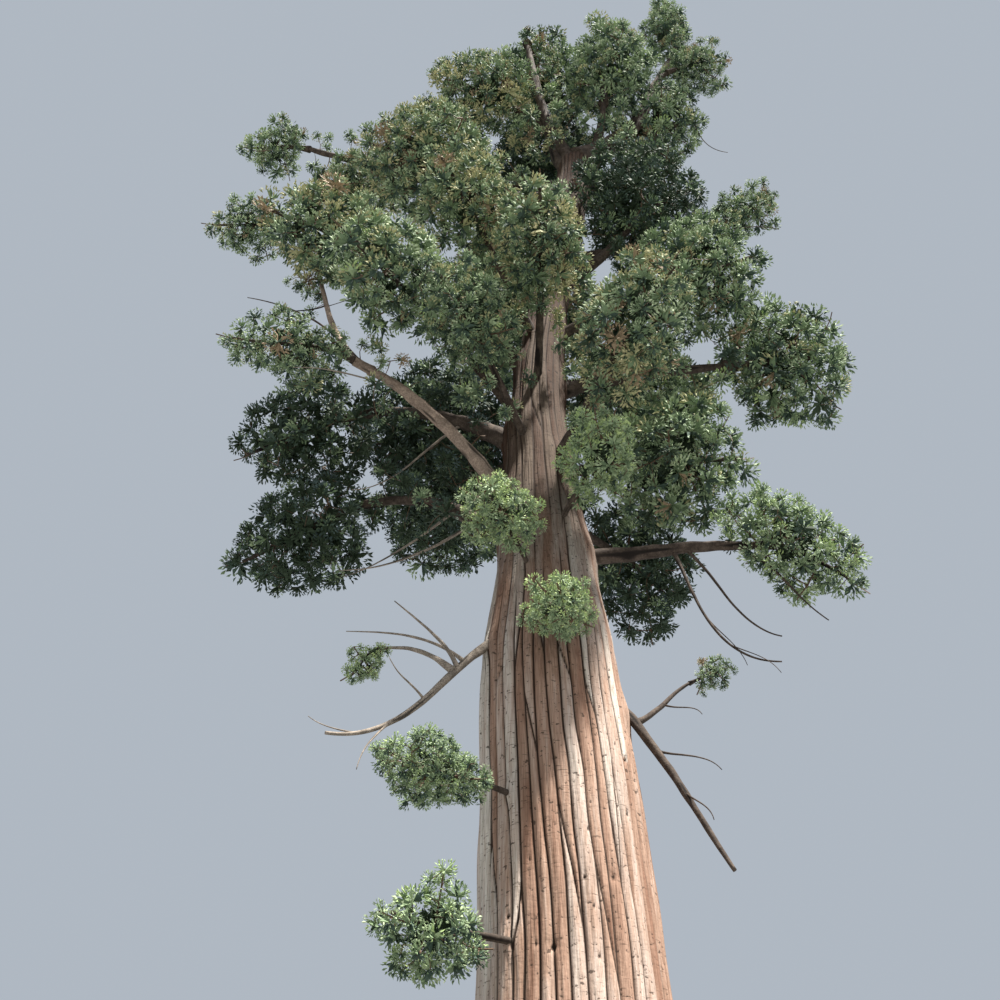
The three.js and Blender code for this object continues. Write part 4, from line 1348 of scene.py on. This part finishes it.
def radiating_sprays(space, heads, obstacles, foliage, random):
    """Sprays that fan out evenly over each head's outer side.

    For each: start, direction, length, head, and whether it lies deep.
    """
    out = unit(unit(heads.centres - heads.backs) + np.array([0, 0, HEAD_LIFT]))
    side = unit(np.cross([0, 0, 1], out))
    over = np.cross(out, side)
    each = np.arange(foliage.sprays)
    fall = 1 - SPRAY_FALL * (each + 0.5) / foliage.sprays
    turn = each * GOLDEN_TURN + 2 * math.pi * random.rand(len(out), 1)
    spread = np.sqrt(1 - fall**2)
    local = np.stack([np.broadcast_to(fall, turn.shape), spread * np.cos(turn), spread * np.sin(turn)], -1)
    axes = np.stack([out, side, over], axis=1)
    directions = np.einsum("nsk,nkc->nsc", local, axes).reshape(-1, 3)
    directions = unit(directions + SPRAY_SHAKE * random.normal(size=directions.shape))
    head = np.repeat(np.arange(len(out)), foliage.sprays)
    starts = (heads.centres - HEAD_START * heads.radii[:, None] * out)[head]
    wanted = SPRAY_REACH * heads.radii[head] * (SPRAY_LEAST + SPRAY_PLAY * random.rand(len(head)))
    room = space.room(starts, directions)
    lengths = np.where(heads.beside[head], wanted, np.minimum(wanted, room))
    deep = heads.depths[head] > INNER_SHARE
    kept = (lengths > SHORTEST_SPRAY * wanted) & ~(deep & (np.arange(len(head)) % INNER_THINNING == 2))
    for share in (SPRAY_MIDDLE, 1):
        kept &= ~obstacles.touched(starts + directions * (share * lengths)[:, None], SPRAY_CLEAR)
    return starts[kept], directions[kept], lengths[kept], head[kept], deep[kept]


def grow_mass(space, lines, obstacles, foliage):
    """The twigs of one mass, and its sprays."""
    random = np.random.RandomState(MASS_SEED + space.seed)
    stem, stem_radius = mass_stem(space, lines)
    entry = stem_entry(space, stem)
    network = Network()
    count = max(STEM_STEPS, int(stem.evenly(1.0)[1] / NETWORK_STEP))
    shares = np.linspace(0, 1, count + 1)
    thickness = stem_radius * (1 + (STEM_RADIUS_LEFT - 1) * shares)
    stem_chain = network.grow(stem.at(shares), -1, thickness)
    limb, limb_radius, limb_chain = stem, stem_radius, stem_chain
    if space.carrier != "trunk":
        limb, limb_radius = lines[space.carrier], LIMB_NAMED[space.carrier].foot_radius
        limb_chain = network.grow(limb.evenly(NETWORK_STEP)[0], -1)
    barked = len(network.chains)
    aims, branch_points = grow_branches(space, network, stem_chain, entry, random)
    usable = [index for index, share in zip(stem_chain, shares) if share >= STEM_USABLE * entry]
    usable += branch_points + limb_chain

    heads = all_heads(space, aims, limb, limb_radius, foliage, random)
    heads = picked(heads, ~obstacles.touched(heads.centres, HEAD_CLEAR))
    gaps = np.linalg.norm(heads.centres[:, None] - network.places(usable)[None], axis=2)
    heads = picked(heads, np.argsort(gaps.min(axis=1)))
    tips = grow_twigs(network, usable, heads.centres, random)
    return twig_tubes(network, tips, barked), radiating_sprays(space, heads, obstacles, foliage, random)


def shoot(root, direction, reach, width, random):
    """A plump leafy shoot, pointed at both ends: a tetrahedron with its broad edge across the middle."""
    side = unit(np.cross(direction, unit(random.normal(size=3))))
    over = np.cross(direction, side)
    middle = root + SHOOT_MIDDLE * reach * direction + SHOOT_HEIGHT * width * over
    half = 0.5 * width * side
    corners = np.array([root, root + reach * direction, middle + half, middle - half])
    return corners - SHOOT_SINK * width * over


def fan(count, play, random):
    """Directions across +X, a golden turn apart, each with its share of the way out to the fan's edge."""
    for i in range(count):
        turn = i * GOLDEN_TURN + play * random.rand()
        yield math.sqrt((i + 0.5) / count), np.array([0, math.cos(turn), math.sin(turn)])


AHEAD = np.array([1.0, 0, 0])


def spray_shape(seed, width):
    """One spray of unit length along +X, as the corners of its heart's shoots and of its tips' shoots."""
    random = np.random.RandomState(seed)
    heart, tips = [], []
    for out, across in fan(HEART_SHOOTS, HEART_PLAY, random):
        direction = unit(AHEAD + HEART_SPREAD * out * across)
        heart.append(shoot(np.zeros(3), direction, HEART_REACH, HEART_WIDTH, random))
    for out, across in fan(TIP_SHOOTS, TIP_PLAY, random):
        root = (TUFT_FRONT - TUFT_ROUND * out**2) * AHEAD + TUFT_RADIUS * out * across
        direction = unit(AHEAD + TIP_SPREAD * out * across + TIP_SHAKE * random.normal(size=3))
        reach, thickness = (TIP_LEAST + TIP_SIZE_PLAY * random.rand(2)) * (TIP_REACH, width)
        tips.append(shoot(root, direction, reach, thickness, random))
    return np.vstack(heart), np.vstack(tips)


def inner_spray_shape(seed):
    """A spray of broad old shoots for the inside of a mass, whose darkest tint is older leaves and painted
    shade.
    """
    random = np.random.RandomState(seed)
    made = []
    for out, across in fan(INNER_SHOOTS, INNER_PLAY, random):
        direction = unit(AHEAD + INNER_SPREAD * out * across)
        made.append(shoot(INNER_START * AHEAD, direction, 1.0, INNER_WIDTH, random))
    return np.vstack(made)


def lay_sprays(starts, directions, lengths, corners, random):
    """Copies of one spray's shoots, laid along directions and rolled round them, as joined arrays."""
    side = unit(np.cross([0, 0, 1], directions) + SIDE_NUDGE)
    other = np.cross(directions, side)
    roll = 2 * math.pi * random.rand(len(starts))
    turned = np.cos(roll)[:, None] * side + np.sin(roll)[:, None] * other
    over = np.cross(directions, turned)
    axes = np.stack([directions, turned, over], axis=1) * lengths[:, None, None]
    points = (starts[:, None] + np.einsum("vk,nkc->nvc", corners, axes)).reshape(-1, 3)
    faces = SHOOT_FACES[None] + 4 * np.arange(len(points) // 4)[:, None, None]
    return points, faces.reshape(-1, 3)


def deal_tints(family, heads, low, random):
    """A tint for each spray: mostly its head's own, otherwise any of the family's, and darker underneath as
    painted shade.
    """
    names, shares = zip(*FAMILIES[family].items())
    shares = np.array(shares) / sum(shares)
    own = random.choice(len(names), size=int(heads.max()) + 1, p=shares)
    any_of_them = random.choice(len(names), size=len(heads), p=shares)
    chosen = np.where(random.rand(len(heads)) < HEAD_TINT_SHARE, own[heads], any_of_them)
    darker = np.array([HEARTS[name] for name in names])
    return np.where(low, darker[chosen], np.array(names)[chosen])


def leafy_mass(space, lines, obstacles, foliage, shapes, inner_shapes):
    """One mass: the tubes of its twigs, and its laid sprays as pairs of a tint and their mesh."""
    tubes, (starts, directions, lengths, heads, deep) = grow_mass(space, lines, obstacles, foliage)
    random = np.random.RandomState(TINT_SEED + space.seed)
    # Painted shade: sprays that point down take their hearts' darker tint
    tints = deal_tints(space.family, heads, directions[:, 2] < SHADED_UNDERSIDE, random)
    kinds = random.randint(SPRAY_KINDS, size=len(starts))
    laid = []
    for kind in range(SPRAY_KINDS):
        # Deep sprays take the darkest tint: older leaves and painted shade of the crown's inside
        layers = [("dark", inner_shapes[kind], deep & (kinds == kind))]
        for tint in sorted(set(tints)):
            own = (tints == tint) & (kinds == kind) & ~deep
            # Heart shoots take the darker tint: older leaves, and painted shade inside the spray
            layers += zip((HEARTS[tint], tint), shapes[kind], (own, own))
        for tint, corners, own in layers:
            if own.any():
                rolls = np.random.RandomState(ROLL_SEED + ROLLS_IN_MASS * space.seed + kind)
                mesh = lay_sprays(starts[own], directions[own], lengths[own], corners, rolls)
                laid.append((tint, mesh))
    return tubes, laid


def add_in_pieces(name, parts, material, slot):
    """Joins (vertices, faces, node) parts into as few pieces as the limit on triangles allows."""
    batch, nodes, count, number = [], [], 0, 0
    for vertices, faces, node in [*parts, (None, None, None)]:
        if batch and (vertices is None or count + len(faces) > PIECE_LIMIT):
            number += 1
            label = f"{name}_{number}"
            new_piece(label, *joined(batch), material, slot, sorted(set(nodes)), smooth_faces=False)
            batch, nodes, count = [], [], 0
        if vertices is not None:
            batch.append((vertices, faces))
            nodes.append(node)
            count += len(faces)


# The darker wood, and the flakes of the limb bark's lit and shaded copies (painted light and shade),
# as shares of the tints that are set
DEAD_SHADE = 0.55
LIT_FLAKES = 1.6
SHADED_FLAKES = 0.5


def limb_materials(bark):
    """Barks of the limbs by finish: a shaded and a lit copy of the limb bark (painted shade and light), and
    bare dead wood.
    """
    weathered = tuple(DEAD_SHADE * value for value in bark.dead)
    pale = tuple(LIT_FLAKES * value for value in bark.limb_pale)
    flakes = tuple(SHADED_FLAKES * value for value in bark.limb_pale)
    return {
        "dark": limb_bark_material("limb_bark_dark", bark.limb, flakes),
        "pale": limb_bark_material("limb_bark_pale", bark.limb_pale, pale),
        "dead": limb_bark_material("dead_wood", weathered, bark.dead),
    }


class SEQUOIA_OT_trunk(Operator):
    """Add the trunk's bark"""

    bl_idname = "sequoia.trunk"
    bl_label = "Add Trunk Bark"

    def execute(self, context):
        bark = context.scene.sequoia_bark
        spaces, lines = tree_plan()
        material = trunk_bark_material(bark)
        for name, low, high in (("trunk_lower", 0.0, TRUNK_SEAM), ("trunk_upper", TRUNK_SEAM, TRUNK_TOP)):
            vertices, faces, furrow, plate = trunk_skin(low, high, bark, lines, spaces)
            ends = 2 * TRUNK_TURNS
            piece = new_piece(name, vertices, faces, material, "trunk_bark", ["trunk"], flat_faces=ends)
            add_attribute(piece, "furrow", furrow)
            add_attribute(piece, "plate", plate)
        return {"FINISHED"}


class SEQUOIA_OT_limbs(Operator):
    """Add the leaders, boughs, dead limbs, stems and dead twigs"""

    bl_idname = "sequoia.limbs"
    bl_label = "Add Limbs"

    def execute(self, context):
        spaces, lines = tree_plan()
        materials = limb_materials(context.scene.sequoia_bark)
        for index, limb in enumerate(LIMBS):
            dead = limb.slot == "dead_wood"
            bare = dead and limb.name not in SHADED_DEAD_LIMBS
            # Painted light: a limb gets the lit or the shaded copy of the limb bark, or bare dead wood
            finish = "pale" if limb.name in LIT_LIMBS else "dead" if bare else "dark"
            seed = LIMB_SEED + SEEDS_IN_LIMB * index
            skin = limb_skin(lines[limb.name], limb.foot_radius, limb.tip_radius, seed, dead)
            add_skins(f"{limb.name}_bark", [skin], materials[finish], limb.slot, [limb.name])

        stems = []
        for space in spaces:
            stem, radius = mass_stem(space, lines)
            seed = STEM_SEED + SEEDS_IN_LIMB * space.seed
            tip_radius = STEM_RADIUS_LEFT * radius
            stems.append(limb_skin(stem, radius, tip_radius, seed, False, STEM_SIDES, STEM_RING_STEP))
        names = [space.name for space in spaces]
        # Painted shade: the stems get the shaded copy of the limb bark
        add_skins("foliage_stems", stems, materials["dark"], "limb_bark", names)

        twigs = {"pale": [], "dark": []}
        for index, twig in enumerate(DEAD_TWIGS):
            foot = lines[twig.carrier].at(twig.at)[0]
            line = bend_to(foot, placed(*twig.tip), twig.foot_rise, twig.tip_rise)
            seed = DEAD_TWIG_SEED + SEEDS_IN_LIMB * index
            twigs[twig.wood].append(limb_skin(line, twig.foot_radius, twig.tip_radius, seed, True))
        add_skins("dead_twigs_pale", twigs["pale"], materials["dead"], "dead_wood", [])
        # Painted shade: the dark dead twigs get the shaded copy of the limb bark
        add_skins("dead_twigs_dark", twigs["dark"], materials["dark"], "dead_wood", [])
        return {"FINISHED"}


class SEQUOIA_OT_foliage(Operator):
    """Add the twigs and leaf sprays of every mass"""

    bl_idname = "sequoia.foliage"
    bl_label = "Add Foliage"

    def execute(self, context):
        foliage = context.scene.sequoia_foliage
        spaces, lines = tree_plan()
        obstacles = Obstacles(lines)
        shapes = [spray_shape(SPRAY_SEED + kind, foliage.shoot_width) for kind in range(SPRAY_KINDS)]
        inner_shapes = [inner_spray_shape(INNER_SPRAY_SEED + kind) for kind in range(SPRAY_KINDS)]
        twigs = []
        sprays = {tint: [] for tint in TINT_SLOTS}
        for space in spaces:
            tubes, laid = leafy_mass(space, lines, obstacles, foliage, shapes, inner_shapes)
            twigs.append((*tubes, space.name))
            for tint, mesh in laid:
                sprays[tint].append((*mesh, space.name))
        bark = context.scene.sequoia_bark
        add_in_pieces("twigs", twigs, plain_material("twig", bark.twig), "limb_bark")
        for tint, parts in sprays.items():
            material = plain_material(f"leaf_{tint}", getattr(foliage, tint))
            add_in_pieces(f"sprays_{tint}", parts, material, TINT_SLOTS[tint])
        return {"FINISHED"}


FLOOR_RADIUS = 220
FLOOR_SIDES = 96
FLOOR_MOTTLE = ((0.2, 0.2, 0.2), 2)
FLOOR_PALER = 1.05
FLOOR_ROUGHNESS = 0.9
KEY_AZIMUTH = -48
KEY_RISE = 66
KEY_SPREAD = 3
KEY_PLACE = (20, -26, 60)
# The camera stands on the ground in front of the trunk and looks up by this many degrees
CAMERA_PLACE = (-0.96, -15.2, 0.88)
CAMERA_RISE = 45
CAMERA_LENS = 41.4
CAMERA_SENSOR = 36
CAMERA_REACH = 600


class SEQUOIA_OT_stage(Operator):
    """Add the floor, the soft light and the camera"""

    bl_idname = "sequoia.stage"
    bl_label = "Add Stage"

    def execute(self, context):
        stage = context.scene.sequoia_stage
        bpy.ops.object.select_all(action="DESELECT")
        bpy.ops.mesh.primitive_circle_add(vertices=FLOOR_SIDES, radius=FLOOR_RADIUS, fill_type="NGON")
        floor = context.object
        floor.name = "floor"
        nodes = Nodes("floor")
        paler = tuple(min(1.0, FLOOR_PALER * value) for value in stage.floor)
        mottle = nodes.mix(nodes.noise(*FLOOR_MOTTLE), stage.floor, paler)
        nodes.link(mottle, nodes.shader.inputs["Base Color"])
        nodes.shader.inputs["Roughness"].default_value = FLOOR_ROUGHNESS
        floor.data.materials.append(nodes.material)
        floor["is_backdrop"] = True

        world = bpy.data.worlds.new("soft_surround")
        world.use_nodes = True
        surround = world.node_tree.nodes["Background"]
        surround.inputs["Color"].default_value = (*stage.backdrop, 1.0)
        surround.inputs["Strength"].default_value = stage.fill_strength
        context.scene.world = world

        bpy.ops.object.light_add(type="SUN", location=KEY_PLACE)
        key = context.object
        key.name = "key_light"
        key.data.energy = stage.key_strength
        key.data.angle = math.radians(KEY_SPREAD)
        key.data.color = stage.key
        towards = Vector(-heading(KEY_AZIMUTH, KEY_RISE))
        key.rotation_euler = towards.to_track_quat("-Z", "Y").to_euler()

        rotation = (math.radians(90 + CAMERA_RISE), 0, 0)
        bpy.ops.object.camera_add(location=CAMERA_PLACE, rotation=rotation)
        camera = context.object
        camera.name = "photo_camera"
        camera.data.sensor_width = CAMERA_SENSOR
        camera.data.lens = CAMERA_LENS
        camera.data.clip_end = CAMERA_REACH
        context.scene.camera = camera
        context.scene.view_settings.view_transform = "Standard"
        return {"FINISHED"}


class VIEW3D_PT_sequoia(Panel):
    """Lists the tree's settings and the operators that add its pieces"""

    bl_label = "Giant Sequoia"
    bl_space_type = "VIEW_3D"
    bl_region_type = "UI"
    bl_category = "Sequoia"

    def draw(self, context):
        for group, operators in PANEL_ROWS:
            box = self.layout.box()
            settings = getattr(context.scene, group)
            for key in settings.__annotations__:
                box.prop(settings, key)
            for operator in operators:
                box.operator(operator)


PANEL_ROWS = (
    ("sequoia_bark", ("sequoia.trunk", "sequoia.limbs")),
    ("sequoia_foliage", ("sequoia.foliage",)),
    ("sequoia_stage", ("sequoia.stage",)),
)
GROUPS = {
    "sequoia_bark": SequoiaBark,
    "sequoia_foliage": SequoiaFoliage,
    "sequoia_stage": SequoiaStage,
}
CLASSES = (
    *GROUPS.values(),
    SEQUOIA_OT_trunk,
    SEQUOIA_OT_limbs,
    SEQUOIA_OT_foliage,
    SEQUOIA_OT_stage,
    VIEW3D_PT_sequoia,
)


def register():
    for entry in CLASSES:
        bpy.utils.register_class(entry)
    for name, group in GROUPS.items():
        setattr(bpy.types.Scene, name, PointerProperty(type=group))


def unregister():
    for name in GROUPS:
        delattr(bpy.types.Scene, name)
    for entry in reversed(CLASSES):
        bpy.utils.unregister_class(entry)


def main():
    register()
    bpy.ops.sequoia.stage()
    bpy.ops.sequoia.trunk()
    bpy.ops.sequoia.limbs()
    bpy.ops.sequoia.foliage()
    boxes = {"cad": CAD_BOX, "visual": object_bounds()}
    {name: [list(corner) for corner in box] for name, box in boxes.items()}


if __name__ == "__main__":
    main()
